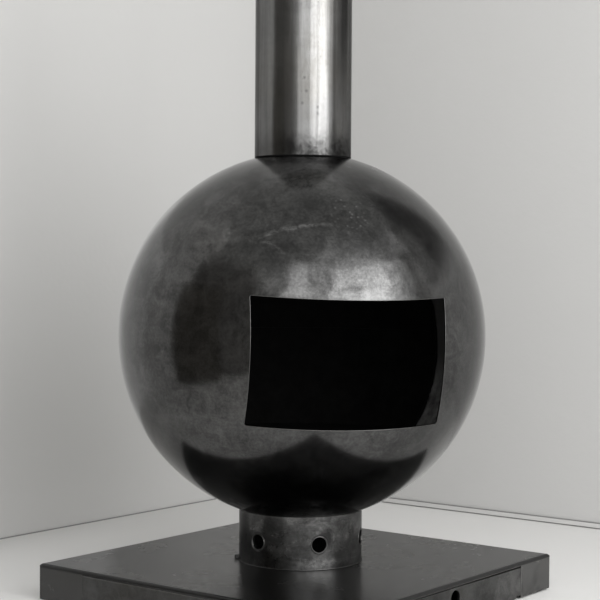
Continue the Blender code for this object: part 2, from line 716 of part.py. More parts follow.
def make_hearth(dark, iron, parent):
    radius = wall_radius(HEARTH_FOOT) - TOUCH_GAP
    hole = GRATE_SPIGOT_RADIUS + TOUCH_GAP
    hearth = new_object(
        "hearth_plate", tube(radius, hole, HEARTH_FOOT, HEARTH_TOP, BALL_STEPS), dark, parent
    )
    near = HEARTH_SLOT_CIRCLE - HEARTH_SLOT_LENGTH / 2
    far = HEARTH_SLOT_CIRCLE + HEARTH_SLOT_LENGTH / 2
    half = HEARTH_SLOT_WIDTH / 2
    slots = [
        round_z(block((near, far), (-half, half), (2 * HEARTH_FOOT, 0)), angle)
        for angle in spread(HEARTH_SLOT_COUNT, math.pi / HEARTH_SLOT_COUNT)
    ]
    cut(hearth, gathered(slots), "air slots")

    grate_foot = HEARTH_TOP + TOUCH_GAP
    grate_top = grate_foot + GRATE_THICKNESS
    grate = new_object(
        "fire_grate",
        rod((0, 0, grate_foot), (0, 0, grate_top), GRATE_RADIUS, RING_STEPS),
        iron,
        parent,
    )
    open_radius = GRATE_RADIUS - GRATE_RIM
    pitch = GRATE_BAR + GRATE_GAP
    count = int(2 * (open_radius - GRATE_BAR) / pitch)
    gaps = []
    for index in range(count):
        across = (index - (count - 1) / 2) * pitch
        reach = height_at(open_radius, abs(across) + GRATE_GAP / 2)
        gaps.append(
            block(
                (across - GRATE_GAP / 2, across + GRATE_GAP / 2),
                (-reach, reach),
                (2 * HEARTH_FOOT, 0),
            )
        )
    spigot_inner = GRATE_SPIGOT_RADIUS - GRATE_SPIGOT_WALL
    spigot_foot = grate_foot - GRATE_SPIGOT_DEPTH
    middle = grate_foot + GRATE_THICKNESS / 2
    ring = tube(GRATE_SPIGOT_RADIUS, spigot_inner, spigot_foot, middle, BORE_STEPS)
    join(grate, ring, "locating ring")
    cut(grate, gathered(gaps), "gaps")

    flange_top = HEARTH_FOOT - TOUCH_GAP
    flange_foot = flange_top - CHUTE_FLANGE_THICKNESS
    chute_foot = TRAY_TOP + CHUTE_ABOVE_TRAY - BALL_CENTRE
    bore = CHUTE_RADIUS - CHUTE_WALL
    chute = [
        (CHUTE_RADIUS, chute_foot),
        (CHUTE_RADIUS, flange_foot),
        (CHUTE_FLANGE_RADIUS, flange_foot),
        (CHUTE_FLANGE_RADIUS, flange_top),
        (bore, flange_top),
        (bore, chute_foot),
    ]
    new_object("ash_chute", turned(chute, BORE_STEPS), dark, parent)

    guard_front = -height_at(radius - GUARD_TO_HEARTH_EDGE, GUARD_LENGTH / 2)
    guard_back = guard_front + GUARD_FOOT
    guard_foot = HEARTH_TOP + TOUCH_GAP
    guard_top = guard_foot + GUARD_HEIGHT
    guard = [
        (guard_front, guard_foot),
        (guard_back, guard_foot),
        (guard_back, guard_foot + GUARD_THICKNESS),
        (guard_front + GUARD_THICKNESS, guard_foot + GUARD_THICKNESS),
        (guard_front + GUARD_THICKNESS, guard_top),
        (guard_front, guard_top),
    ]
    half = GUARD_LENGTH / 2
    new_object("ember_guard", drawn(guard, "X", -half, half), dark, parent)


def make_fireback(dark, parent):
    """A dished lining for the back of the ball, in two halves that stand on one another."""
    strip_inside = wall_radius(-SEAM_STRIP_HEIGHT / 2) - TOUCH_GAP - SEAM_STRIP_WALL
    outer = strip_inside - TOUCH_GAP
    inner = outer - FIREBACK_THICKNESS
    seam = TOUCH_GAP / 2
    halves = (
        ("fireback_lower", HEARTH_TOP + TOUCH_GAP, -seam),
        ("fireback_upper", seam, FIREBACK_TOP),
    )
    for name, low, high in halves:
        outside = arc(outer, low, high, BALL_ARCS // 2)
        inside = arc(inner, high, low, BALL_ARCS // 2)
        half = new_object(name, turned(outside + inside, BALL_STEPS), dark, parent)
        span = 2 * BALL_RADIUS
        front = block((-span, span), (-2 * span, 0), (-span, span))
        lean = Matrix.Translation((0, FIREBACK_BEHIND_CENTRE, 0)) @ Matrix.Rotation(
            -FIREBACK_LEAN, 4, "X"
        )
        cut(half, moved(front, lean), "front")


def make_flue(steel):
    seat = BALL_CENTRE + height_at(BALL_RADIUS, SPIGOT_RADIUS)
    foot = seat + SPIGOT_BEAD + 2 * TOUCH_GAP
    pipe = tube(FLUE_RADIUS, FLUE_RADIUS - FLUE_WALL, foot, foot + FLUE_LENGTH)
    new_object("flue_pipe", pipe, steel)


def make_spigot(dark, parent):
    """The short tube that joins the ball to the flue pipe, with the bead that shows as a seam."""
    seat = height_at(BALL_RADIUS, SPIGOT_RADIUS) + TOUCH_GAP
    bore = SPIGOT_RADIUS - SPIGOT_WALL
    low = seat - SPIGOT_INTO_BALL
    high = seat + SPIGOT_BEAD + SPIGOT_INTO_PIPE
    bead = FLUE_RADIUS - TOUCH_GAP
    profile = [
        (SPIGOT_RADIUS, low),
        (SPIGOT_RADIUS, seat),
        (bead, seat),
        (bead, seat + SPIGOT_BEAD),
        (SPIGOT_RADIUS, seat + SPIGOT_BEAD),
        (SPIGOT_RADIUS, high),
        (bore, high),
        (bore, low),
    ]
    spigot = new_object("flue_spigot", turned(profile, BALL_STEPS), dark, parent)
    spindle_z = low + SPINDLE_ABOVE_SPIGOT_END
    reach = 2 * SPIGOT_RADIUS
    drill = rod((-reach, 0, spindle_z), (reach, 0, spindle_z), SPINDLE_RADIUS + TOUCH_GAP)
    cut(spigot, drill, "spindle holes")
    for side, name in ((-1, "damper_bush_left"), (1, "damper_bush_right")):
        near = SPIGOT_RADIUS + TOUCH_GAP
        far = near + BUSH_LENGTH
        bm = tube(SPINDLE_RADIUS + BUSH_WALL, SPINDLE_RADIUS + TOUCH_GAP, near, far, SMALL_STEPS)
        turn = Matrix.Rotation(side * math.pi / 2, 4, "Y")
        moved(bm, Matrix.Translation((0, 0, spindle_z)) @ turn)
        new_object(name, bm, dark, parent, at=(side * near, 0, spindle_z))
    return spindle_z


def make_damper(iron, dark, parent):
    """The butterfly plate of the flue, upright when open. Drawn about its spindle's axis, X."""
    bore = SPIGOT_RADIUS - SPIGOT_WALL
    plate_radius = bore * math.cos(math.pi / BALL_STEPS) - DAMPER_CLEARANCE
    half = DAMPER_THICKNESS / 2
    plate = new_object(
        "damper_plate", rod((0, -half, 0), (0, half, 0), plate_radius, RING_STEPS), iron, parent
    )
    sleeve_reach = plate_radius - SLEEVE_WALL
    sleeve = rod((-sleeve_reach, 0, 0), (sleeve_reach, 0, 0), SPINDLE_RADIUS + SLEEVE_WALL)
    join(plate, sleeve, "sleeve")
    bored = rod((-bore, 0, 0), (bore, 0, 0), SPINDLE_RADIUS + TOUCH_GAP)
    cut(plate, bored, "spindle bore")

    bush_end = SPIGOT_RADIUS + TOUCH_GAP + BUSH_LENGTH
    lever_near = bush_end + RUNNING_GAP
    lever_far = lever_near + LEVER_THICKNESS
    spindle = rod((-bush_end - RUNNING_GAP, 0, 0), (lever_far + RUNNING_GAP, 0, 0), SPINDLE_RADIUS)
    new_object("damper_spindle", spindle, dark, parent)

    span = (lever_near, lever_far)
    lever = new_object(
        "damper_lever", rod((span[0], 0, 0), (span[1], 0, 0), LEVER_HUB_RADIUS), dark, parent
    )
    hang = Matrix.Rotation(-LEVER_ANGLE, 4, "X")
    arm = block(span, (-LEVER_WIDTH / 2, LEVER_WIDTH / 2), (-LEVER_LENGTH, 0))
    join(lever, moved(arm, hang), "arm")
    eye = (0, 0, -LEVER_LENGTH)
    eye_plate = rod((span[0], 0, eye[2]), (span[1], 0, eye[2]), LEVER_EYE_RADIUS)
    join(lever, moved(eye_plate, hang), "eye")
    eye_hole = rod((span[0] - bore, 0, eye[2]), (span[1] + bore, 0, eye[2]), LEVER_EYE_HOLE)
    cut(lever, moved(eye_hole, hang), "eye hole")
    hub_hole = rod((span[0] - bore, 0, 0), (span[1] + bore, 0, 0), SPINDLE_RADIUS + TOUCH_GAP)
    cut(lever, hub_hole, "spindle hole")


def main():
    clear_scene()
    blued = material("blued_steel", (0.085, 0.083, 0.078), 0.38, 1.0)
    pipe_steel = material("pipe_steel", (0.20, 0.19, 0.18), 0.30, 1.0)
    waxed = material("waxed_steel", (0.13, 0.127, 0.12), 0.42, 1.0)
    sooty = material("sooty_steel", (0.012, 0.011, 0.010), 0.85, 0.0)
    bare = material("bare_steel", (0.10, 0.10, 0.095), 0.55, 1.0)
    iron = material("cast_iron", (0.03, 0.03, 0.03), 0.75, 0.3)
    zinc = material("zinc_plate", (0.42, 0.42, 0.40), 0.40, 1.0)
    bronze = material("bronze", (0.45, 0.29, 0.12), 0.40, 1.0)

    make_plinth(waxed, bare, zinc)
    make_drawer(waxed, bare, empty("drawer", (0, 0, 0)))
    make_collar(blued, bare, bronze, zinc)
    make_air_ring(bare, empty("air_control", (0, 0, 0)))
    ball = empty("ball", (0, 0, BALL_CENTRE), BALL_TURN)
    make_ball(blued, bare, ball)
    make_hearth(sooty, iron, ball)
    make_fireback(sooty, ball)
    spindle_z = make_spigot(bare, ball)
    make_damper(iron, bare, empty("damper", (0, 0, spindle_z), parent=ball))
    make_flue(pipe_steel)


main()
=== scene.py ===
"""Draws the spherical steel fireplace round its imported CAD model.

Metres, +Z up, in the CAD model's frame. In the ball's own frame -Y looks out of the mouth."""

import math

import bmesh
import bpy
from mathutils import Matrix, Vector


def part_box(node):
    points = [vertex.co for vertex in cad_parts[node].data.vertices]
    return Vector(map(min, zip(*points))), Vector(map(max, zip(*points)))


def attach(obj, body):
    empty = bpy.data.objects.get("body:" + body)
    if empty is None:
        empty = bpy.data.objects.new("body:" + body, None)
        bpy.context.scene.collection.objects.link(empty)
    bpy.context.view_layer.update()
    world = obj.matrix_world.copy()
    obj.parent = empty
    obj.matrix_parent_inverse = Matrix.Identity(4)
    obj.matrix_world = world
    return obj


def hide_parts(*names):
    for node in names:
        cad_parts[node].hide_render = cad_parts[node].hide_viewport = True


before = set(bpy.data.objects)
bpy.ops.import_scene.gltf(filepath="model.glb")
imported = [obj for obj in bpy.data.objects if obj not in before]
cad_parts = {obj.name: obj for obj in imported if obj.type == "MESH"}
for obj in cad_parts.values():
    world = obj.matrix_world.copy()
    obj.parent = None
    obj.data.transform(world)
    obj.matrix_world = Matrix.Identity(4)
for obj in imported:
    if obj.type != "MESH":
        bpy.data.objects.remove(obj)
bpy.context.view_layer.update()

# Sizes that the CAD model has
BALL_RADIUS = 0.380
BALL_WALL = 0.005
SHELL_HALF_GAP = 0.00015
BALL_CENTRE = Vector((0, 0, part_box("upper_shell")[0].z - SHELL_HALF_GAP))
BALL_TURN = math.radians(-36.6)
BALL_FRAME = Matrix.Translation(BALL_CENTRE) @ Matrix.Rotation(BALL_TURN, 4, "Z")
MOUTH_WIDTH = 0.384
MOUTH_HEIGHT = 0.246
MOUTH_DIP = math.radians(6.1)
MOUTH_ROLL = math.radians(0.8)
MOUTH_LEAN = Matrix.Rotation(MOUTH_DIP, 4, "X") @ Matrix.Rotation(MOUTH_ROLL, 4, "Y")
MOUTH_CORNER = 0.004
CHUTE_HOLE = 0.0603
FLUE_HOLE = 0.0977
VENT_RADIUS = 0.010
VENT_CIRCLE = 0.084
VENT_FIRST = math.radians(30)
VENT_COUNT = 6
FLUE_RADIUS = 0.100
FLUE_WALL = 0.002
COLLAR_RADIUS = 0.128
COLLAR_BORE = 0.123
AIR_HOLE_RADIUS = 0.017
AIR_HOLE_CHAMFER = 0.0015
AIR_HOLE_Z = 0.127
AIR_HOLE_FIRST = math.radians(-5)
AIR_HOLE_COUNT = 6
SLOT_START = math.radians(93.9)
SLOT_END = math.radians(131.1)
SLOT_TOP = 0.0846
SLOT_CUT_FROM = 0.05
PLINTH_HALF = 0.380
PLINTH_TOP = 0.076
PLINTH_FOLD = 0.007
FRONT_TOP = 0.0665
FRONT_HALF = 0.255

# How far the scene's drawer front and side panel close the gaps at their ends, and how much
# lower the drawer front's top edge is at its right end
FRONT_CLOSER = 0.0008
PANEL_CLOSER = 0.0014
FRONT_SAG = 0.0016

# Round beads: the light line at the mouth's edge, the lips of the air holes, and the
# collar's foot
MOUTH_BEAD = 0.0005
LIP_BEAD = 0.0013
LIP_INSET = 0.0004
LIP_DEPTH = 0.0010
FOOT_BEAD = 0.0009
FOOT_BEAD_OUT = 0.0005
FOOT_BEAD_UP = 0.0008

# Small steps of the outlines: how far the collar's inner top edge stays below the ball, the
# bevel of its outer top edge, and the bevels of the pipe's ends
COLLAR_BALL_GAP = 0.0003
COLLAR_BEVEL_DOWN = 0.0007
COLLAR_BEVEL_IN = 0.0005
PIPE_BEVEL = 0.0004

# How far the cutters reach past what they cut
CUT_PAST = 0.010
CHAMFER_PAST = 0.001
SLOT_PAST_IN = 0.002
SLOT_PAST_OUT = 0.005

# The photograph's camera
CAMERA_PLACE = Vector((-2.53183, -1.94302, 0.70681))
CAMERA_LOOK = Vector((0.79223, 0.60955, -0.02850))
CAMERA_ROLL = math.radians(0.378)
CAMERA_LENS = 92.12

# Level directions from the object, towards the camera and to the camera's right
TOWARDS = -Vector((CAMERA_LOOK.x, CAMERA_LOOK.y, 0)).normalized()
ASIDE = Vector((-TOWARDS.y, TOWARDS.x, 0))

# Rubbed patches on the ball: where the photograph shows each, its reach and how pale it is
BALL_RUBS = (
    (232, 242, 0.040, 0.5),
    (167, 252, 0.050, 0.4),
    (188, 282, 0.035, 0.5),
    (222, 415, 0.070, 0.5),
    (178, 400, 0.060, 0.5),
    (140, 345, 0.050, 0.4),
    (458, 360, 0.080, 0.4),
    (375, 232, 0.040, 0.4),
    (300, 438, 0.060, 0.3),
    (395, 445, 0.050, 0.3),
)

# Curved scuffs on the ball: the ring's centre in the photograph, its radius and width, and
# the place and reach of the part of it that shows
BALL_SCUFFS = (
    ((326, 400), 0.360, 0.0060, (290, 233), 0.090),
    ((254, 280), 0.0845, 0.0045, (277, 248), 0.036),
    ((174, 248), 0.149, 0.0120, (230, 241), 0.045),
)

# Dark pits on the pipe, where the photograph shows them
PIPE_PITS = ((304, 79), (306, 92), (302, 104), (317, 108), (317, 114))

# The room that the object stands in
WALL_Y = 0.955
WALL_X = 1.110
WALL_HEIGHT = 2.7
WALL_LENGTH = 4.5
FLOOR_HALF = 9
FLOOR_DROP = 0.0003
JOINT_AHEAD = 0.002
BEAD_AHEAD = 0.006

# Lamps: first and last angle to the camera's right in degrees, distance, lowest and highest
# edge, brightness, and the angle that the lamp stands square to if that isn't midway
LAMPS = (
    ("window_right", 34.6, 55, 2.2, 0.35, 1.68, 6.3, 48),
    ("window_edge", 55, 62, 2.2, 0.35, 1.68, 3.0, 48),
    ("window_end", 62, 72, 2.2, 0.35, 1.68, 1.2, 66),
    ("window_middle", 15.5, 33.2, 2.2, 0.35, 1.68, 5.1),
    ("window_left", -6, 13.5, 2.2, 0.35, 1.68, 1.9),
    ("window_far_left", -13, -6, 2.2, 0.35, 1.68, 1.7),
    ("upper_right", 34.3, 57, 2.1, 1.68, 2.3, 5.6, 34),
    ("upper_edge", 57, 65, 2.2, 1.68, 2.3, 2.8, 60),
    ("upper_end", 65, 75, 2.2, 1.68, 2.3, 1.0, 66),
    ("upper_middle", 19, 33.7, 2.1, 1.68, 2.3, 5.0, 34),
    ("upper_left", 4.1, 18, 2.4, 1.68, 2.82, 1.3),
    ("upper_far_left", -8.5, 3.7, 2.4, 1.68, 2.82, 2.3),
    ("upper_glow", -30, -8.5, 2.4, 1.68, 2.6, 0.45),
    ("wall_bounce", -150, -95, 0.93, 0.15, 1.1, 0.23, -127.6),
    ("curtain_low", 14, 60, 2.1, 2.3, 2.6, 1.7, 34),
    ("curtain_middle", 12, 60, 2.1, 2.6, 3.1, 1.1, 34),
    ("curtain_high", 12, 60, 2.1, 3.1, 3.6, 0.6, 34),
    ("curtain_top", 12, 60, 2.1, 3.6, 4.4, 0.25, 34),
    ("curtain_side", 61, 92, 1.9, 2.1, 2.9, 0.6, 76),
)

# Dull panels round the object: shade, first and last angle to the camera's right, distance,
# lowest and highest edge, how much of the width fades out at each side, and warmth
TURNED_PANELS = (
    ("dark_block", 0.17, -77, -43, 1.47, -0.25, 1.27, 0.12, 0.16),
    ("dark_left", 0.22, -84, -19, 1.90, -0.60, 2.10, 0.22, 0.07),
)

# Dull panels along the right wall: shade, distance ahead of the wall, nearest and farthest
# Y, lowest and highest edge, and how much of the width fades out at each side
WALL_PANELS = (
    ("dark_right", 0.24, 0.03, -0.20, -1.80, 1.06, 2.90, 0.16),
    ("darker_right", 0.10, 0.04, -0.34, -1.12, 1.10, 2.60, 0.22),
)

# Mesh fineness
FINE_STEPS = 192
BALL_ARCS = 120
HOLE_STEPS = 64
VENT_STEPS = 24
SLOT_STEPS = 24
BEAD_SIDES = 10
RIM_SPACING = 0.006
FACET_SAG = 0.0002
SHARP_ANGLE = math.radians(35)

# Which faces count as upright and as flat, by how far they face up, and which points as
# lying at a front's end and at its top
UPRIGHT = 0.05
FLAT = 0.999
END_REACH = 0.0005
TOP_REACH = 0.001


class Shader:
    """One material, with short calls for its nodes. A value is a number, a colour or a socket."""

    def __init__(self, name):
        self.material = bpy.data.materials.new(name)
        self.material.use_nodes = True
        self.tree = self.material.node_tree
        self.surface = self.tree.nodes["Principled BSDF"]
        self.place = self.tree.nodes.new("ShaderNodeTexCoord").outputs["Object"]

    def feed(self, socket, value):
        if isinstance(value, bpy.types.NodeSocket):
            self.tree.links.new(value, socket)
        else:
            socket.default_value = value

    def maths(self, operation, first, second=0.0, clamp=False):
        node = self.tree.nodes.new("ShaderNodeMath")
        node.operation = operation
        node.use_clamp = clamp
        self.feed(node.inputs[0], first)
        self.feed(node.inputs[1], second)
        return node.outputs[0]

    def plus(self, first, second, clamp=False):
        return self.maths("ADD", first, second, clamp)

    def minus(self, first, second, clamp=False):
        return self.maths("SUBTRACT", first, second, clamp)

    def times(self, first, second):
        return self.maths("MULTIPLY", first, second)

    def blend(self, share, low, high):
        """A number between two others."""
        node = self.tree.nodes.new("ShaderNodeMix")
        self.feed(node.inputs["Factor"], share)
        self.feed(node.inputs[2], low)
        self.feed(node.inputs[3], high)
        return node.outputs[0]

    def tint(self, share, low, high):
        """A colour between two others."""
        node = self.tree.nodes.new("ShaderNodeMix")
        node.data_type = "RGBA"
        self.feed(node.inputs["Factor"], share)
        self.feed(node.inputs[6], low)
        self.feed(node.inputs[7], high)
        return node.outputs[2]

    def steps(self, value, low, high):
        """0 below low, 1 above high, smooth between. Low may be above high."""
        node = self.tree.nodes.new("ShaderNodeMapRange")
        node.interpolation_type = "SMOOTHSTEP"
        self.feed(node.inputs["Value"], value)
        self.feed(node.inputs["From Min"], low)
        self.feed(node.inputs["From Max"], high)
        return node.outputs["Result"]

    def stretched(self, scale, turn=(0, 0, 0), at=None):
        node = self.tree.nodes.new("ShaderNodeMapping")
        self.feed(node.inputs["Vector"], at or self.place)
        node.inputs["Scale"].default_value = scale
        node.inputs["Rotation"].default_value = turn
        return node.outputs["Vector"]

    def swirled(self, scale, amount):
        """Places turned about Z by an angle that wanders from spot to spot."""
        node = self.tree.nodes.new("ShaderNodeVectorRotate")
        node.rotation_type = "Z_AXIS"
        self.feed(node.inputs["Vector"], self.place)
        self.feed(node.inputs["Angle"], self.times(self.noise(scale, 1), amount))
        return node.outputs["Vector"]

    def noise(self, scale, detail=2, roughness=0.5, distortion=0.0, at=None):
        node = self.tree.nodes.new("ShaderNodeTexNoise")
        self.feed(node.inputs["Vector"], at or self.place)
        node.inputs["Scale"].default_value = scale
        node.inputs["Detail"].default_value = detail
        node.inputs["Roughness"].default_value = roughness
        node.inputs["Distortion"].default_value = distortion
        return node.outputs["Fac"]

    def cells(self, scale):
        """Distance to the nearest of many scattered points."""
        node = self.tree.nodes.new("ShaderNodeTexVoronoi")
        self.feed(node.inputs["Vector"], self.place)
        node.inputs["Scale"].default_value = scale
        return node.outputs["Distance"]

    def away(self, centre):
        """Distance from one place."""
        node = self.tree.nodes.new("ShaderNodeVectorMath")
        node.operation = "DISTANCE"
        self.feed(node.inputs[0], self.place)
        node.inputs[1].default_value = centre
        return node.outputs["Value"]

    def patch(self, centre, reach, fray=0.5):
        """1 at a place and 0 past its reach, with a ragged edge."""
        ragged = self.times(self.noise(1.6 / reach, 3, 0.6), 2 * fray * reach)
        far = self.plus(self.minus(self.away(centre), fray * reach), ragged)
        return self.steps(far, reach, reach * 0.35)

    def arc(self, centre, radius, width, middle, reach):
        """A thin curved mark: the part of a ring that lies near a place."""
        wander = self.times(self.noise(30, 4, 0.65), 3 * width)
        off = self.plus(self.away(centre), wander)
        off = self.minus(off, radius + 1.5 * width)
        line = self.steps(self.maths("ABSOLUTE", off), width, width * 0.1)
        broken = self.steps(self.noise(110, 3, 0.7), 0.34, 0.56)
        return self.times(self.times(line, broken), self.patch(middle, reach))

    def axis(self, letter):
        node = self.tree.nodes.new("ShaderNodeSeparateXYZ")
        self.feed(node.inputs[0], self.place)
        return node.outputs[letter]

    def bump(self, height, distance, onto=None):
        node = self.tree.nodes.new("ShaderNodeBump")
        node.inputs["Strength"].default_value = 1.0
        node.inputs["Distance"].default_value = distance
        self.feed(node.inputs["Height"], height)
        if onto is not None:
            self.feed(node.inputs["Normal"], onto)
        return node.outputs["Normal"]

    def done(self, **values):
        for name, value in values.items():
            self.feed(self.surface.inputs[name.replace("_", " ")], value)
        return self.material


def ball_point(x, y):
    """The place on the ball that the photograph shows at a pixel."""
    right = (x - 302.5) / 183.3
    up = (336.0 - y) / 183.3
    near = math.sqrt(1 - right * right - up * up)
    return BALL_CENTRE + BALL_RADIUS * (ASIDE * right + TOWARDS * near + Vector((0, 0, up)))


def pipe_point(x, y):
    """The place on the pipe that the photograph shows at a pixel."""
    right = (x - 303) / 48
    near = math.sqrt(1 - right * right)
    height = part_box("flue_pipe")[0].z + (155 - y) * 0.00203
    return FLUE_RADIUS * (ASIDE * right + TOWARDS * near) + Vector((0, 0, height))


def from_axis(point):
    return math.hypot(point.x, point.y)


def grey(value, warmth=0.03):
    return (value, value * (1 - warmth / 3), value * (1 - warmth), 1.0)


def oxide_steel(
    name,
    shade,
    gloss,
    mottle=0.18,
    wander=6.0,
    lines=0.5,
    speckle=0.2,
    wave=0.0,
    oil=0.0,
    extra=None,
    pitting=1.0,
):
    """Dark rolled steel under oil or wax: cloudy patina, fine rubbing marks and small pits.
    shade is how much it reflects, gloss its lowest and highest roughness, mottle how far its
    tone varies, lines how deep its rubbing marks are (0 leaves all relief out), speckle how
    strong its finest grain is, wave the height of its dents, and oil the weight of the film on
    it. extra adds marks: it takes the shader and gives a number that the shade is multiplied
    by, one that is added to the roughness, and how far a matt film covers the metal."""
    made = Shader(name)
    clouds = made.noise(wander, 4, 0.6, 0.6)
    blots = made.noise(wander * 4.5, 6, 0.66, 1.1)
    grain = made.noise(wander * 32, 3, 0.7)
    marks_at = made.swirled(3.0, 5.0)
    marks = made.noise(1.0, 2, 0.6, 0.0, made.stretched((18, 420, 420), at=marks_at))
    wisps = made.noise(1.0, 4, 0.7, 0.8, made.stretched((9, 9, 55), at=made.swirled(1.5, 2.0)))
    rubbed_and_edge_highlight = made.steps(made.noise(wander * 1.6, 3, 0.5, 0.6), 0.48, 0.72)
    pits = made.steps(made.cells(75), 0.085, 0.035)
    pits = made.times(pits, made.steps(made.noise(9, 1), 0.5, 0.62))
    pits = made.times(pits, pitting)
    tone = made.plus(made.times(clouds, 0.32), made.times(blots, 0.50))
    tone = made.plus(tone, made.times(wisps, 0.18))
    tone = made.plus(tone, made.times(rubbed_and_edge_highlight, 0.06))
    tone = made.plus(tone, made.times(made.minus(grain, 0.5), speckle))
    tone = made.minus(tone, made.times(pits, 0.16))
    warm = made.steps(made.noise(wander * 0.8, 3, 0.6, 0.5), 0.48, 0.66)
    least, most = shade * (1 - 1.6 * mottle), shade * (1 + 1.6 * mottle)
    low = made.tint(warm, grey(least, 0.02), grey(least, 0.08))
    high = made.tint(warm, grey(most, 0.01), grey(most, 0.03))
    colour = made.tint(made.steps(tone, 0.34, 0.72), low, high)
    rough = made.plus(made.times(blots, 0.6), made.times(rubbed_and_edge_highlight, 0.3))
    rough = made.plus(rough, made.times(pits, 0.5), clamp=True)
    rough = made.blend(rough, gloss[0], gloss[1])
    metal = 1.0
    if extra:
        share, dull, film = extra(made)
        if film is not None:
            metal = made.minus(1.0, film, clamp=True)
        scaled = made.tree.nodes.new("ShaderNodeVectorMath")
        scaled.operation = "SCALE"
        made.feed(scaled.inputs[0], colour)
        made.feed(scaled.inputs["Scale"], share)
        colour = scaled.outputs[0]
        rough = made.plus(rough, dull, clamp=True)
    if lines:
        marked = made.times(marks, made.blend(rubbed_and_edge_highlight, 0.25, 1.0))
        normal = made.bump(marked, 0.00003 * lines)
        normal = made.bump(made.plus(grain, pits), 0.00001, normal)
        if wave:
            normal = made.bump(made.noise(8, 1), wave, normal)
        made.done(Normal=normal)
    made.done(Specular_Tint=(0.5, 0.5, 0.5, 1.0))
    if oil:
        made.done(Coat_Weight=oil, Coat_Roughness=(gloss[0] + gloss[1]) / 2)
    return made.done(Base_Color=colour, Metallic=metal, Roughness=rough)


def ball_marks(made):
    """Pale scuffs and droplets above the mouth, abraded patches low on the left, and a paler, duller
    neck under the pipe that is painted light.
    """
    light = None
    for (x, y), radius, width, (near_x, near_y), reach in BALL_SCUFFS:
        scuff = made.arc(ball_point(x, y), radius, width, ball_point(near_x, near_y), reach)
        scuff = made.times(scuff, 1.6)
        light = scuff if light is None else made.plus(light, scuff)
    drops = made.times(
        made.steps(made.cells(105), 0.34, 0.16),
        made.patch(ball_point(346, 217), 0.052, 0.5),
    )
    light = made.plus(light, made.times(drops, 1.5))
    dry = made.maths("MINIMUM", light, 1.0)
    brushed = made.noise(1.0, 4, 0.65, 0.4, made.stretched((9, 9, 75)))
    brushed = made.times(
        made.steps(brushed, 0.46, 0.68),
        made.patch(ball_point(322, 244), 0.085, 0.4),
    )
    light = made.plus(light, made.times(brushed, 0.7))
    streaks = made.noise(1.0, 4, 0.65, 0.5, made.stretched((45, 45, 8)))
    streaks = made.steps(streaks, 0.45, 0.75)
    for x, y, reach, amount in BALL_RUBS:
        rub = made.times(made.patch(ball_point(x, y), reach, 0.7), streaks)
        light = made.plus(light, made.times(rub, amount))
    dark = made.patch(ball_point(300, 208), 0.060, 0.7)
    # Painted light: the neck under the pipe paler and duller
    height = made.plus(made.axis("Z"), made.times(made.noise(30, 3), 0.02))
    painted_light_neck = made.steps(height, 0.866, 0.892)
    share = made.plus(1.0, made.times(light, 0.42))
    share = made.minus(share, made.times(dark, 0.12))
    share = made.plus(share, made.times(painted_light_neck, 0.20))
    dull = made.plus(made.times(light, 0.05), made.times(painted_light_neck, 0.12))
    film = made.times(made.patch(ball_point(302, 177), 0.105, 0.4), 0.42)
    film = made.plus(film, made.times(dry, 0.30))
    return share, dull, film


def pipe_marks(made):
    """A scorched stain above the joint with the ball, runs down the pipe, and a few pits."""
    ragged = made.times(made.noise(22, 4, 0.65), 0.05)
    height = made.plus(made.axis("Z"), ragged)
    blotches = made.steps(made.noise(48, 5, 0.68, 0.5), 0.34, 0.62)
    stain = made.times(made.steps(height, 0.994, 0.944), made.blend(blotches, 0.60, 1.0))
    wiped = made.patch(pipe_point(264, 145), 0.085, 0.3)
    stain = made.times(stain, made.blend(wiped, 1.0, 0.45))
    band = made.steps(height, 1.08, 0.97)
    runs = made.noise(1.0, 4, 0.6, 0.6, made.stretched((55, 55, 2.2)))
    runs = made.steps(runs, 0.30, 0.70)
    pocks = made.times(
        made.steps(made.cells(150), 0.20, 0.10),
        made.steps(made.noise(16, 2), 0.56, 0.62),
    )
    for x, y in PIPE_PITS:
        pocks = made.plus(pocks, made.patch(pipe_point(x, y), 0.0040, 0.9), clamp=True)
    share = made.blend(runs, 0.80, 1.18)
    share = made.times(share, made.blend(stain, 1.0, 0.15))
    share = made.times(share, made.blend(band, 1.0, 0.88))
    share = made.times(share, made.blend(pocks, 1.0, 0.66))
    return share, made.times(stain, 0.08), None


def collar_marks(made):
    """Grinder swirls and wiped patches, with painted shade on the left side under the ball and a darker
    foot that stands for the dark plinth top's reflection.
    """
    streaks_at = made.stretched((16, 16, 95), (0.5, 0.3, 0), at=made.swirled(14, 5.0))
    swirls = made.steps(made.noise(1.0, 4, 0.7, 0.6, streaks_at), 0.52, 0.68)
    swirls = made.times(swirls, made.steps(made.noise(20, 2), 0.44, 0.60))
    wiped = made.steps(made.noise(1.0, 4, 0.65, 0.8, made.stretched((14, 14, 30))), 0.48, 0.62)
    # Painted shade: darker patches where the ball overhangs and shades the collar, mostly on its left
    painted_shade = made.plus(
        made.patch((-0.105, 0.055, 0.118), 0.055, 0.5),
        made.patch((-0.128, 0.005, 0.105), 0.052, 0.6),
    )
    painted_shade = made.plus(painted_shade, made.patch((-0.124, -0.030, 0.152), 0.042, 0.6))
    painted_shade = made.plus(painted_shade, made.patch((-0.062, -0.112, 0.140), 0.022, 0.8), clamp=True)
    # Painted reflection: the lower collar darker, where it shows the dark plinth top
    foot = made.steps(made.axis("Z"), 0.092, 0.077)
    share = made.plus(0.90, made.times(wiped, 0.55))
    share = made.plus(share, made.times(swirls, 0.6))
    share = made.minus(share, made.times(foot, 0.12))
    share = made.times(share, made.blend(painted_shade, 0.95, 0.30))
    return share, made.times(wiped, -0.03), None


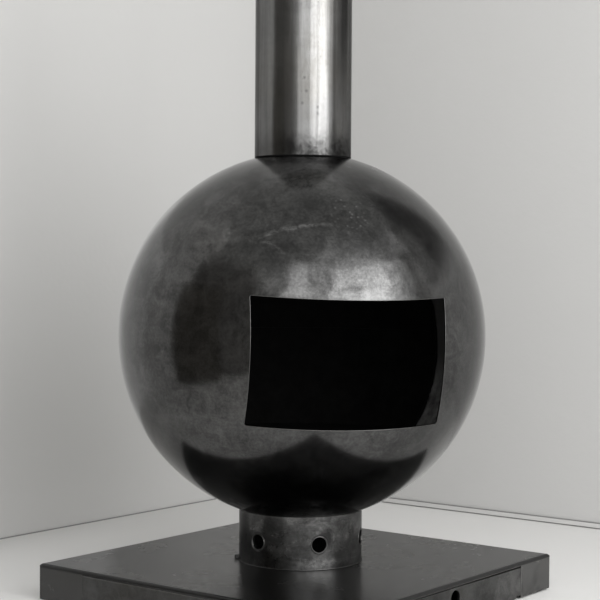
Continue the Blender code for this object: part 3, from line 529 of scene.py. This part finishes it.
def plinth_marks(made):
    """Painted dark reflection on the folds, a duller far corner, a barer strip beside the drawer, and a
    painted highlight along the drawer's right gap.
    """
    across = made.axis("X")
    along = made.axis("Y")
    start = PLINTH_HALF - PLINTH_FOLD
    reach = made.maths("MAXIMUM", made.maths("ABSOLUTE", across), made.maths("ABSOLUTE", along))
    # Painted reflection: the folds darkened, less so at the left end
    painted_dark_fold = made.steps(reach, start - 0.001, start + 0.001)
    painted_dark_fold = made.times(painted_dark_fold, made.steps(made.axis("Z"), 0.0680, 0.0700))
    left = made.times(made.steps(across, -0.37, -0.38), made.steps(along, 0.22, 0.34))
    painted_dark_fold = made.times(painted_dark_fold, made.blend(left, 1.0, 0.25))
    corner = made.patch((-PLINTH_HALF, PLINTH_HALF, PLINTH_TOP), 0.42, 0.3)
    upper = made.steps(made.axis("Z"), 0.066, 0.070)
    corner = made.times(corner, made.blend(upper, 0.45, 1.0))
    face = made.steps(along, 0.0010 - PLINTH_HALF, 0.0004 - PLINTH_HALF)
    bare = made.times(face, made.steps(across, 0.10, 0.24))
    # Painted highlight: a pale line on the case's edge beside the drawer's right gap
    rubbed_and_edge_highlight = made.steps(across, FRONT_HALF + 0.0048, FRONT_HALF + 0.0032)
    rubbed_and_edge_highlight = made.times(face, rubbed_and_edge_highlight)
    rubbed_and_edge_highlight = made.times(rubbed_and_edge_highlight, made.steps(across, FRONT_HALF, FRONT_HALF + 0.001))
    smudges = made.steps(made.noise(26, 4, 0.68, 0.6), 0.38, 0.62)
    share = made.blend(corner, 0.96, 0.20)
    share = made.times(share, made.blend(painted_dark_fold, 1.0, 0.15))
    bared_and_highlight = made.times(made.blend(smudges, 0.90, 1.46), made.blend(rubbed_and_edge_highlight, 1.0, 1.7))
    share = made.times(share, made.blend(bare, 1.0, bared_and_highlight))
    return share, made.times(painted_dark_fold, 0.10), None


def front_marks(made):
    """A painted highlight along the top edge, and one end paler than the rest."""
    share, dull, film = top_edge_highlight(made)
    lean = made.times(made.axis("Z"), 0.5)
    ragged = made.times(made.noise(30, 3), 0.012)
    place = made.minus(made.plus(made.axis("X"), ragged), lean)
    share = made.times(share, made.blend(made.steps(place, 0.138, 0.146), 0.88, 1.26))
    return share, dull, film


def top_edge_highlight(made):
    """The sheet's upper edge, lighter and a little rougher: a painted highlight."""
    painted_highlight = made.steps(made.axis("Z"), FRONT_TOP - 0.0016, FRONT_TOP - 0.0007)
    painted_highlight = made.times(painted_highlight, made.blend(made.noise(25, 3), 0.5, 1.2))
    share = made.plus(1.0, made.times(painted_highlight, 1.2))
    return share, made.times(painted_highlight, 0.05), None


def soot(name, shade=0.004, ash=0.012, crust=0.0008, painted_shade_above=None):
    """Matt soot and fire scale with a little ash in its grain, with painted shade making it darker above
    a height.
    """
    made = Shader(name)
    lumps = made.noise(30, 6, 0.65)
    grain = made.noise(260, 3, 0.6)
    dusty = made.steps(made.noise(11, 3, 0.6, 0.5), 0.55, 0.75)
    colour = made.tint(made.steps(lumps, 0.3, 0.7), grey(shade * 0.45), grey(shade * 1.5))
    colour = made.tint(made.times(dusty, 0.35), colour, grey(ash))
    if painted_shade_above:
        # Painted shade: darker above the given height, where less light comes in by the mouth
        height = made.plus(made.axis("Z"), made.times(lumps, 0.05))
        painted_shade = made.steps(height, painted_shade_above, painted_shade_above + 0.10)
        colour = made.tint(painted_shade, colour, grey(shade * 0.5))
    normal = made.bump(lumps, crust)
    normal = made.bump(grain, crust / 6, normal)
    rough = made.blend(lumps, 0.75, 0.97)
    made.done(Specular_IOR_Level=0.15)
    return made.done(Base_Color=colour, Metallic=0.0, Roughness=rough, Normal=normal)


def iron(name, shade):
    """Cast iron with its sand grain, dark and dry."""
    made = Shader(name)
    sand = made.noise(420, 4, 0.6)
    clouds = made.noise(16, 4, 0.6)
    colour = made.tint(clouds, grey(shade * 0.6), grey(shade * 1.5, 0.1))
    normal = made.bump(sand, 0.0002)
    rough = made.blend(sand, 0.6, 0.85)
    return made.done(Base_Color=colour, Metallic=0.4, Roughness=rough, Normal=normal)


def plated(name, colour, gloss):
    """Bright plated or machined metal with fine turning marks."""
    made = Shader(name)
    turned_marks = made.noise(1.0, 2, 0.5, 0.0, made.stretched((60, 60, 900)))
    clouds = made.noise(45, 3, 0.6)
    dark = tuple(value * 0.7 for value in colour) + (1.0,)
    shade = made.tint(clouds, dark, (*colour, 1.0))
    rough = made.blend(clouds, gloss[0], gloss[1])
    normal = made.bump(turned_marks, 0.00002)
    return made.done(Base_Color=shade, Metallic=1.0, Roughness=rough, Normal=normal)


def pale(name, shade, rough=0.75, warmth=0.02):
    """The plaster of the walls and the painted floor."""
    made = Shader(name)
    wide = made.noise(1.3, 2)
    fine = made.noise(60, 3)
    colour = made.tint(wide, grey(shade * 0.98, warmth), grey(shade * 1.02, warmth))
    normal = made.bump(fine, 0.0004)
    return made.done(Base_Color=colour, Roughness=rough, Normal=normal)


def turned(profile):
    """A closed outline of (radius, height) points turned round Z."""
    bm = bmesh.new()
    rings = []
    for step in range(FINE_STEPS):
        turn = math.tau * step / FINE_STEPS
        rings.append(
            [bm.verts.new((r * math.cos(turn), r * math.sin(turn), z)) for r, z in profile]
        )
    for step, ring in enumerate(rings):
        following = rings[(step + 1) % FINE_STEPS]
        for index in range(len(profile)):
            after = (index + 1) % len(profile)
            bm.faces.new([ring[index], ring[after], following[after], following[index]])
    bmesh.ops.recalc_face_normals(bm, faces=bm.faces)
    return bm


def swept(path, radius):
    """A round bead along a closed path of points."""
    bm = bmesh.new()
    count = len(path)
    rings = []
    for index, point in enumerate(path):
        along = (path[(index + 1) % count] - path[index - 1]).normalized()
        side = along.cross(point.normalized() if point.length > 0 else Vector((0, 0, 1)))
        side.normalize()
        up = side.cross(along)
        ring = []
        for step in range(BEAD_SIDES):
            turn = math.tau * step / BEAD_SIDES
            ring.append(bm.verts.new(point + (side * math.cos(turn) + up * math.sin(turn)) * radius))
        rings.append(ring)
    for index, ring in enumerate(rings):
        following = rings[(index + 1) % count]
        for step in range(BEAD_SIDES):
            after = (step + 1) % BEAD_SIDES
            bm.faces.new([ring[step], ring[after], following[after], following[step]])
    bmesh.ops.recalc_face_normals(bm, faces=bm.faces)
    return bm


def piece(name, bm, materials, where=None):
    """An object whose mesh is put in place, so that its own origin stays at the world's."""
    if where is not None:
        bmesh.ops.transform(bm, matrix=where, verts=bm.verts)
    mesh = bpy.data.meshes.new(name)
    bm.to_mesh(mesh)
    bm.free()
    mesh.shade_smooth()
    mesh.set_sharp_from_angle(angle=SHARP_ANGLE)
    for material in materials:
        mesh.materials.append(material)
    made = bpy.data.objects.new(name, mesh)
    bpy.context.scene.collection.objects.link(made)
    return made


def carve(target, cutters, where=None):
    """Cuts shapes out of a piece, for good."""
    for bm in cutters:
        cutter = piece(f"{target.name}_cutter", bm, [], where)
        modifier = target.modifiers.new("cut", "BOOLEAN")
        modifier.operation = "DIFFERENCE"
        modifier.solver = "EXACT"
        modifier.object = cutter
        with bpy.context.temp_override(object=target, active_object=target):
            bpy.ops.object.modifier_apply(modifier=modifier.name)
        bpy.data.objects.remove(cutter, do_unlink=True)


def true_normals(target, rule):
    """Sets each face corner's normal from its place, so that cuts don't dent the reflections."""
    mesh = target.data
    normals = [None] * len(mesh.loops)
    for polygon in mesh.polygons:
        for index in polygon.loop_indices:
            corner = mesh.vertices[mesh.loops[index].vertex_index].co
            normals[index] = rule(corner, polygon)
    mesh.normals_split_custom_set(normals)


def prism(across, up, corner, near, far):
    """A rounded rectangle drawn out along Y from near to far, tipped as the mouth is."""
    outline = rounded(across, up, corner)
    bm = bmesh.new()
    rings = [[bm.verts.new((x, y, z)) for x, z in outline] for y in (near, far)]
    bm.faces.new(rings[0])
    bm.faces.new(list(reversed(rings[1])))
    for index in range(len(outline)):
        after = (index + 1) % len(outline)
        bm.faces.new([rings[0][index], rings[0][after], rings[1][after], rings[1][index]])
    bmesh.ops.transform(bm, matrix=MOUTH_LEAN, verts=bm.verts)
    bmesh.ops.recalc_face_normals(bm, faces=bm.faces)
    return bm


def rounded(across, up, corner, spacing=None):
    """Points round a rectangle with round corners, as (x, z)."""
    bends = 5
    centres = [(1, 1, 0), (-1, 1, 1), (-1, -1, 2), (1, -1, 3)]
    points = []
    for side, top, quarter in centres:
        for step in range(bends + 1):
            turn = math.pi / 2 * (quarter + step / bends)
            x = side * (across - corner) + corner * math.cos(turn)
            z = top * (up - corner) + corner * math.sin(turn)
            points.append((x, z))
    if spacing is None:
        return points
    spaced = []
    for index, point in enumerate(points):
        after = points[(index + 1) % len(points)]
        length = math.dist(point, after)
        parts = max(1, round(length / spacing))
        for part in range(parts):
            share = part / parts
            spaced.append(tuple(a + (b - a) * share for a, b in zip(point, after)))
    return spaced


def dress(material, *names):
    for name in names:
        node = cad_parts[name]
        node.data.materials.clear()
        node.data.materials.append(material)


def make_ball(outside, inside, edge, bright):
    def arc(radius, first, last):
        angles = [first + (last - first) * step / BALL_ARCS for step in range(BALL_ARCS + 1)]
        return [(radius * math.cos(a), radius * math.sin(a)) for a in angles]

    inner = BALL_RADIUS - BALL_WALL
    low = -math.acos(CHUTE_HOLE / BALL_RADIUS)
    high = math.acos(FLUE_HOLE / BALL_RADIUS)
    low_in = -math.acos(CHUTE_HOLE / inner)
    high_in = math.acos(FLUE_HOLE / inner)
    profile = arc(BALL_RADIUS, low, high) + arc(inner, high_in, low_in)
    ball = piece("ball_skin", turned(profile), [outside, inside, edge], BALL_FRAME)
    vents = []
    for number in range(VENT_COUNT):
        angle = VENT_FIRST + math.tau * number / VENT_COUNT
        bm = bmesh.new()
        bmesh.ops.create_cone(
            bm,
            cap_ends=True,
            segments=VENT_STEPS,
            radius1=VENT_RADIUS,
            radius2=VENT_RADIUS,
            depth=10 * BALL_WALL,
        )
        bmesh.ops.translate(
            bm,
            vec=(VENT_CIRCLE * math.cos(angle), VENT_CIRCLE * math.sin(angle), -BALL_RADIUS),
            verts=bm.verts,
        )
        vents.append(bm)
    mouth = prism(MOUTH_WIDTH / 2, MOUTH_HEIGHT / 2, MOUTH_CORNER, -2 * BALL_RADIUS, -BALL_RADIUS / 4)
    carve(ball, [mouth] + vents, BALL_FRAME)
    # Cut faces take the very dark edge steel: painted shade on the walls of the mouth and vents
    for polygon in ball.data.polygons:
        radii = [(ball.data.vertices[v].co - BALL_CENTRE).length for v in polygon.vertices]
        if all(abs(radius - BALL_RADIUS) < FACET_SAG for radius in radii):
            polygon.material_index = 0
        elif all(abs(radius - inner) < FACET_SAG for radius in radii):
            polygon.material_index = 1
        else:
            polygon.material_index = 2

    def rule(corner, polygon):
        if polygon.material_index == 0:
            return (corner - BALL_CENTRE).normalized()
        if polygon.material_index == 1:
            return (BALL_CENTRE - corner).normalized()
        return polygon.normal

    true_normals(ball, rule)
    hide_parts("upper_shell", "lower_shell")
    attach(ball, "ball")

    rim = []
    for x, z in rounded(MOUTH_WIDTH / 2, MOUTH_HEIGHT / 2, MOUTH_CORNER, RIM_SPACING):
        reach = math.sqrt(BALL_RADIUS**2 - x**2 - z**2)
        rim.append(MOUTH_LEAN @ Vector((x, -reach, z)))
    bead = piece("mouth_edge", swept(rim, MOUTH_BEAD), [bright], BALL_FRAME)
    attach(bead, "ball")


def make_pipe(steel):
    low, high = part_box("flue_pipe")
    inner = FLUE_RADIUS - FLUE_WALL
    profile = [
        (FLUE_RADIUS - PIPE_BEVEL, low.z),
        (FLUE_RADIUS, low.z + PIPE_BEVEL),
        (FLUE_RADIUS, high.z - PIPE_BEVEL),
        (FLUE_RADIUS - PIPE_BEVEL, high.z),
        (inner, high.z),
        (inner, low.z),
    ]
    pipe = piece("flue_skin", turned(profile), [steel])
    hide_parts("flue_pipe")
    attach(pipe, "plinth")


def make_collar(steel, edge, bright):
    low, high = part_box("collar")
    top_in = BALL_CENTRE.z - math.sqrt(BALL_RADIUS**2 - COLLAR_BORE**2) - COLLAR_BALL_GAP
    profile = [
        (COLLAR_BORE, low.z),
        (COLLAR_RADIUS, low.z),
        (COLLAR_RADIUS, high.z - COLLAR_BEVEL_DOWN),
        (COLLAR_RADIUS - COLLAR_BEVEL_IN, high.z),
        (COLLAR_BORE, top_in),
    ]
    collar = piece("collar_skin", turned(profile), [steel, edge, bright])
    flat = COLLAR_RADIUS - math.sqrt(COLLAR_RADIUS**2 - AIR_HOLE_RADIUS**2)
    start = COLLAR_RADIUS - AIR_HOLE_CHAMFER - flat
    end = COLLAR_RADIUS + COLLAR_RADIUS - COLLAR_BORE
    cutters = []
    for number in range(AIR_HOLE_COUNT):
        angle = AIR_HOLE_FIRST + math.tau * number / AIR_HOLE_COUNT
        for first, last, narrow, wide in (
            (COLLAR_BORE - CUT_PAST, end + CUT_PAST, AIR_HOLE_RADIUS, AIR_HOLE_RADIUS),
            (start - CHAMFER_PAST, end, AIR_HOLE_RADIUS - CHAMFER_PAST, AIR_HOLE_RADIUS + end - start),
        ):
            bm = bmesh.new()
            bmesh.ops.create_cone(
                bm,
                cap_ends=True,
                segments=HOLE_STEPS,
                radius1=narrow,
                radius2=wide,
                depth=last - first,
            )
            bmesh.ops.rotate(bm, matrix=Matrix.Rotation(math.pi / 2, 3, "Y"), verts=bm.verts)
            bmesh.ops.translate(bm, vec=((first + last) / 2, 0, AIR_HOLE_Z), verts=bm.verts)
            bmesh.ops.rotate(bm, matrix=Matrix.Rotation(angle, 3, "Z"), verts=bm.verts)
            cutters.append(bm)
    slot = bmesh.new()
    bend = (SLOT_END - SLOT_START) / SLOT_STEPS
    turns = [SLOT_START + bend * step for step in range(SLOT_STEPS + 1)]
    near, far = COLLAR_BORE - SLOT_PAST_IN, COLLAR_RADIUS + SLOT_PAST_OUT
    outline = [(near * math.cos(t), near * math.sin(t)) for t in turns]
    outline += [(far * math.cos(t), far * math.sin(t)) for t in reversed(turns)]
    rings = [[slot.verts.new((x, y, z)) for x, y in outline] for z in (SLOT_CUT_FROM, SLOT_TOP)]
    slot.faces.new(rings[0])
    slot.faces.new(list(reversed(rings[1])))
    for index in range(len(outline)):
        after = (index + 1) % len(outline)
        slot.faces.new([rings[0][index], rings[0][after], rings[1][after], rings[1][index]])
    bmesh.ops.recalc_face_normals(slot, faces=slot.faces)
    carve(collar, cutters + [slot])
    # Cut faces that face out or lie on top take the lighter edge steel, the rest the very dark one: a
    # painted highlight and painted shade
    for polygon in collar.data.polygons:
        radii = [from_axis(collar.data.vertices[v].co) for v in polygon.vertices]
        outer = all(abs(radius - COLLAR_RADIUS) < FACET_SAG for radius in radii)
        bore = all(abs(radius - COLLAR_BORE) < FACET_SAG for radius in radii)
        outward = Vector((polygon.center.x, polygon.center.y, 0)).normalized()
        if outer or bore:
            polygon.material_index = 0
        elif polygon.normal.dot(outward) > 0.3 or polygon.center.z > top_in:
            polygon.material_index = 2
        else:
            polygon.material_index = 1

    def rule(corner, polygon):
        if polygon.material_index:
            return polygon.normal
        sign = 1 if abs(from_axis(corner) - COLLAR_RADIUS) < FACET_SAG else -1
        return Vector((corner.x, corner.y, 0)).normalized() * sign

    true_normals(collar, rule)
    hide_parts("collar")
    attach(collar, "plinth")

    reach = COLLAR_RADIUS + FOOT_BEAD_OUT
    foot = [
        Vector((reach * math.cos(t), reach * math.sin(t), low.z + FOOT_BEAD_UP))
        for t in (math.tau * step / FINE_STEPS for step in range(FINE_STEPS))
    ]
    weld = piece("collar_foot_weld", swept(foot, FOOT_BEAD), [bright])
    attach(weld, "plinth")
    around = AIR_HOLE_RADIUS - LIP_INSET
    reach = COLLAR_RADIUS - LIP_DEPTH
    for number in range(AIR_HOLE_COUNT):
        angle = AIR_HOLE_FIRST + math.tau * number / AIR_HOLE_COUNT
        ring = []
        for step in range(HOLE_STEPS):
            turn = math.tau * step / HOLE_STEPS
            aside = math.asin(around * math.sin(turn) / COLLAR_RADIUS)
            ring.append(
                Vector(
                    (
                        reach * math.cos(angle + aside),
                        reach * math.sin(angle + aside),
                        AIR_HOLE_Z + around * math.cos(turn),
                    )
                )
            )
        lip = piece(f"air_hole_lip_{number + 1}", swept(ring, LIP_BEAD), [bright])
        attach(lip, "plinth")


def make_plinth(steel):
    """The case as the CAD model has it, with folds that shade as round ones."""
    bm = bmesh.new()
    bm.from_mesh(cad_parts["plinth_case"].data)
    bmesh.ops.remove_doubles(bm, verts=bm.verts, dist=0.000001)
    plinth = piece("plinth_skin", bm, [steel])
    inner = PLINTH_HALF - PLINTH_FOLD
    height = PLINTH_TOP - PLINTH_FOLD

    def rule(corner, polygon):
        normal = polygon.normal
        if normal.z < UPRIGHT or normal.z > FLAT:
            return normal
        if abs(normal.x) > abs(normal.y):
            return Vector((corner.x - math.copysign(inner, normal.x), 0, corner.z - height)).normalized()
        return Vector((0, corner.y - math.copysign(inner, normal.y), corner.z - height)).normalized()

    true_normals(plinth, rule)
    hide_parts("plinth_case")
    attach(plinth, "plinth")


def make_front(node_name, name, steel, axis, closer, sag, body):
    """A flat front as the CAD model has it, with the gaps at its ends closer."""
    bm = bmesh.new()
    bm.from_mesh(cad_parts[node_name].data)
    for vert in bm.verts:
        if abs(vert.co[axis]) > FRONT_HALF - END_REACH:
            if vert.co[axis] > 0 and vert.co.z > FRONT_TOP - TOP_REACH:
                vert.co.z -= sag
            vert.co[axis] += math.copysign(closer, vert.co[axis])
    front = piece(name, bm, [steel])
    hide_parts(node_name)
    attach(front, body)


def make_room():
    """A pale floor and the two walls of the corner. From behind, the camera sees through them."""
    floor = bmesh.new()
    bmesh.ops.create_grid(floor, x_segments=1, y_segments=1, size=FLOOR_HALF)
    drop = Matrix.Translation((0, 0, -FLOOR_DROP))
    ground = piece("floor", floor, [pale("floor_paint", 0.70, 0.6)], drop)
    for name, shade, corners in (
        ("wall_left", 0.57, [(WALL_X - WALL_LENGTH, WALL_Y), (WALL_X, WALL_Y)]),
        ("wall_right", 0.51, [(WALL_X, WALL_Y), (WALL_X, WALL_Y - WALL_LENGTH)]),
    ):
        bm = bmesh.new()
        (x0, y0), (x1, y1) = corners
        points = [(x0, y0, 0), (x1, y1, 0), (x1, y1, WALL_HEIGHT), (x0, y0, WALL_HEIGHT)]
        bm.faces.new([bm.verts.new(point) for point in points])
        wall = piece(name, bm, [plaster(f"{name}_plaster", shade)])
    joint = plaster("floor_joint", 0.26)
    bead = plaster("floor_bead", 0.55)
    left, right = WALL_Y - JOINT_AHEAD, WALL_X - JOINT_AHEAD
    ahead = WALL_X - BEAD_AHEAD
    end_x, end_y = WALL_X - WALL_LENGTH, WALL_Y - WALL_LENGTH
    for name, material, start, end, low, high in (
        ("joint_left", joint, (end_x, left), (WALL_X, left), 0, 0.003),
        ("joint_right", joint, (right, WALL_Y), (right, end_y), 0, 0.0165),
        ("bead_right", bead, (ahead, WALL_Y), (ahead, end_y), 0.003, 0.014),
    ):
        bm = bmesh.new()
        points = [(*start, low), (*end, low), (*end, high), (*start, high)]
        bm.faces.new([bm.verts.new(point) for point in points])
        piece(name, bm, [material])


def plaster(name, shade):
    """Wall plaster that the camera sees only from its front, so that it hides nothing."""
    material = pale(name, shade)
    tree = material.node_tree
    surface = tree.nodes["Principled BSDF"]
    output = tree.nodes["Material Output"]
    path = tree.nodes.new("ShaderNodeLightPath")
    side = tree.nodes.new("ShaderNodeNewGeometry")
    both = tree.nodes.new("ShaderNodeMath")
    both.operation = "MULTIPLY"
    tree.links.new(path.outputs["Is Camera Ray"], both.inputs[0])
    tree.links.new(side.outputs["Backfacing"], both.inputs[1])
    clear = tree.nodes.new("ShaderNodeBsdfTransparent")
    choice = tree.nodes.new("ShaderNodeMixShader")
    tree.links.new(both.outputs[0], choice.inputs[0])
    tree.links.new(surface.outputs[0], choice.inputs[1])
    tree.links.new(clear.outputs[0], choice.inputs[2])
    tree.links.new(choice.outputs[0], output.inputs["Surface"])
    return material


def seen_from_object(right, towards, z):
    """A place given by how far it is to the camera's right, and towards the camera."""
    return ASIDE * right + TOWARDS * towards + Vector((0, 0, z))


def shade_panel(name, shade, corners, soft=0.0, warmth=0.02):
    """A dull panel that shows only as a dark patch in the steel, as dark furniture does. soft
    is how much of its width fades out at each side."""
    bm = bmesh.new()
    marks = bm.loops.layers.uv.new("across")
    face = bm.faces.new([bm.verts.new(corner) for corner in corners])
    for loop, spot in zip(face.loops, ((0, 0), (1, 0), (1, 1), (0, 1))):
        loop[marks].uv = spot
    panel = piece(name, bm, [pale(name, shade, 0.9, warmth)])
    if soft:
        tree = panel.data.materials[0].node_tree
        spots = tree.nodes.new("ShaderNodeTexCoord")
        apart = tree.nodes.new("ShaderNodeSeparateXYZ")
        tree.links.new(spots.outputs["UV"], apart.inputs[0])
        solid = None
        for letter in ("X", "Y"):
            off = tree.nodes.new("ShaderNodeMath")
            off.operation = "SUBTRACT"
            off.inputs[1].default_value = 0.5
            tree.links.new(apart.outputs[letter], off.inputs[0])
            size = tree.nodes.new("ShaderNodeMath")
            size.operation = "ABSOLUTE"
            tree.links.new(off.outputs[0], size.inputs[0])
            fade = tree.nodes.new("ShaderNodeMapRange")
            fade.interpolation_type = "SMOOTHSTEP"
            fade.inputs["From Min"].default_value = 0.5
            fade.inputs["From Max"].default_value = 0.5 - soft
            tree.links.new(size.outputs[0], fade.inputs["Value"])
            if solid is None:
                solid = fade.outputs["Result"]
            else:
                both = tree.nodes.new("ShaderNodeMath")
                both.operation = "MULTIPLY"
                tree.links.new(solid, both.inputs[0])
                tree.links.new(fade.outputs["Result"], both.inputs[1])
                solid = both.outputs[0]
        clear = tree.nodes.new("ShaderNodeBsdfTransparent")
        choice = tree.nodes.new("ShaderNodeMixShader")
        tree.links.new(solid, choice.inputs[0])
        tree.links.new(clear.outputs[0], choice.inputs[1])
        tree.links.new(tree.nodes["Principled BSDF"].outputs[0], choice.inputs[2])
        tree.links.new(choice.outputs[0], tree.nodes["Material Output"].inputs["Surface"])
    panel.visible_camera = False
    panel.visible_shadow = False
    panel.visible_diffuse = False


def lamp(name, first, last, distance, low, high, brightness, facing=None):
    """A soft upright panel of light between two angles to the camera's right. It stands square
    to the angle facing, or else to the one midway."""
    if facing is None:
        facing = (first + last) / 2
    turn = math.radians(facing)
    start, end = (distance * math.tan(math.radians(angle - facing)) for angle in (first, last))
    away = TOWARDS * math.cos(turn) + ASIDE * math.sin(turn)
    along = ASIDE * math.cos(turn) - TOWARDS * math.sin(turn)
    data = bpy.data.lights.new(name, "AREA")
    data.shape = "RECTANGLE"
    data.size = end - start
    data.size_y = high - low
    data.energy = brightness * math.pi * data.size * data.size_y
    made = bpy.data.objects.new(name, data)
    bpy.context.scene.collection.objects.link(made)
    made.location = away * distance + along * (start + end) / 2 + Vector((0, 0, (low + high) / 2))
    made.rotation_euler = away.to_track_quat("Z", "Y").to_euler()
    made.visible_camera = False


def make_light():
    world = bpy.data.worlds.new("room_light")
    bpy.context.scene.world = world
    world.use_nodes = True
    tree = world.node_tree
    base = tree.nodes["Background"]
    base.inputs["Color"].default_value = (0.63, 0.63, 0.615, 1)
    seen = tree.nodes.new("ShaderNodeBackground")
    seen.inputs["Color"].default_value = (0.62, 0.62, 0.61, 1)
    path = tree.nodes.new("ShaderNodeLightPath")
    choice = tree.nodes.new("ShaderNodeMixShader")
    tree.links.new(path.outputs["Is Camera Ray"], choice.inputs[0])
    tree.links.new(base.outputs[0], choice.inputs[1])
    tree.links.new(seen.outputs[0], choice.inputs[2])
    tree.links.new(choice.outputs[0], tree.nodes["World Output"].inputs["Surface"])
    for row in LAMPS:
        lamp(*row)
    for name, shade, first, last, distance, low, high, soft, warmth in TURNED_PANELS:
        start, end = (
            (distance * math.sin(math.radians(angle)), distance * math.cos(math.radians(angle)))
            for angle in (first, last)
        )
        corners = [
            seen_from_object(*start, low),
            seen_from_object(*end, low),
            seen_from_object(*end, high),
            seen_from_object(*start, high),
        ]
        shade_panel(name, shade, corners, soft, warmth)
    for name, shade, ahead, near, far, low, high, soft in WALL_PANELS:
        x = WALL_X - ahead
        corners = [(x, near, low), (x, far, low), (x, far, high), (x, near, high)]
        shade_panel(name, shade, corners, soft)


def make_camera():
    data = bpy.data.cameras.new("camera")
    data.lens = CAMERA_LENS
    data.sensor_width = 36
    made = bpy.data.objects.new("camera", data)
    bpy.context.scene.collection.objects.link(made)
    made.location = CAMERA_PLACE
    facing = CAMERA_LOOK.to_track_quat("-Z", "Y")
    made.rotation_mode = "QUATERNION"
    made.rotation_quaternion = facing @ Matrix.Rotation(CAMERA_ROLL, 3, "Z").to_quaternion()
    bpy.context.scene.camera = made


def main():
    ball_steel = oxide_steel(
        "ball_steel", 0.051, (0.10, 0.23), 0.46, 6.0, 0.18, 0.34, 0.0003, 0.7, ball_marks, 0.5
    )
    pipe_steel = oxide_steel("flue_steel", 0.152, (0.13, 0.24), 0.08, 4.0, extra=pipe_marks)
    collar_steel = oxide_steel(
        "collar_steel", 0.085, (0.24, 0.42), 0.40, 7.0, oil=0.3, extra=collar_marks
    )
    plinth_steel = oxide_steel(
        "plinth_steel",
        0.080,
        (0.235, 0.315),
        0.12,
        5.0,
        0.0,
        0.16,
        oil=0.65,
        extra=plinth_marks,
        pitting=0.0,
    )
    front_steel = oxide_steel("front_steel", 0.106, (0.28, 0.44), 0.28, 6.0, extra=front_marks)
    side_steel = oxide_steel("side_steel", 0.080, (0.32, 0.48), 0.20, 7.0, extra=top_edge_highlight)
    # Very dark steel for the cut faces in the mouth, vents and collar holes: painted shade
    shaded_edge_steel = oxide_steel("shaded_edge_steel", 0.014, (0.40, 0.60), 0.1, 12.0)
    # Lighter steel for the beads and the outward chamfers: partly bare ground steel, partly a painted
    # highlight
    bright_edge = oxide_steel("bright_edge", 0.12, (0.30, 0.45), 0.1, 12.0)
    plain_steel = oxide_steel("plain_steel", 0.10, (0.40, 0.60), 0.15, 12.0)
    inside_steel = soot("burnt_steel", 0.17, 0.19, 0.0002, 0.43)
    sooty = soot("soot")
    cast = iron("cast_iron", 0.035)
    zinc = plated("zinc_plate", (0.42, 0.42, 0.40), (0.30, 0.50))
    bronze = plated("bronze", (0.45, 0.29, 0.12), (0.25, 0.45))

    make_ball(ball_steel, inside_steel, shaded_edge_steel, bright_edge)
    make_pipe(pipe_steel)
    make_collar(collar_steel, shaded_edge_steel, bright_edge)
    make_plinth(plinth_steel)
    make_front("drawer_front", "drawer_front_skin", front_steel, 0, FRONT_CLOSER, FRONT_SAG, "drawer")
    make_front("side_panel", "side_panel_skin", side_steel, 1, PANEL_CLOSER, 0.0, "plinth")
    dress(
        plain_steel,
        "air_ring",
        "air_ring_guide",
        "base_plate",
        "damper_bush_left",
        "damper_bush_right",
        "damper_lever",
        "damper_spindle",
        "drawer_rail_left",
        "drawer_rail_right",
        "drawer_tray",
        "ash_pan",
        "pivot_ring",
        "turntable_seat",
    )
    dress(inside_steel, "seam_strip")
    dress(sooty, "ash_chute", "ember_guard", "fireback_lower", "fireback_upper", "hearth_plate")
    dress(sooty, "flue_spigot")
    dress(cast, "fire_grate", "damper_plate")
    dress(zinc, "guide_screw_1", "guide_screw_2", "guide_screw_3")
    dress(zinc, *[f"levelling_foot_{number}" for number in range(1, 5)])
    dress(bronze, "slide_ring")
    make_room()
    make_light()
    make_camera()
    bpy.context.scene.view_settings.view_transform = "Standard"


main()
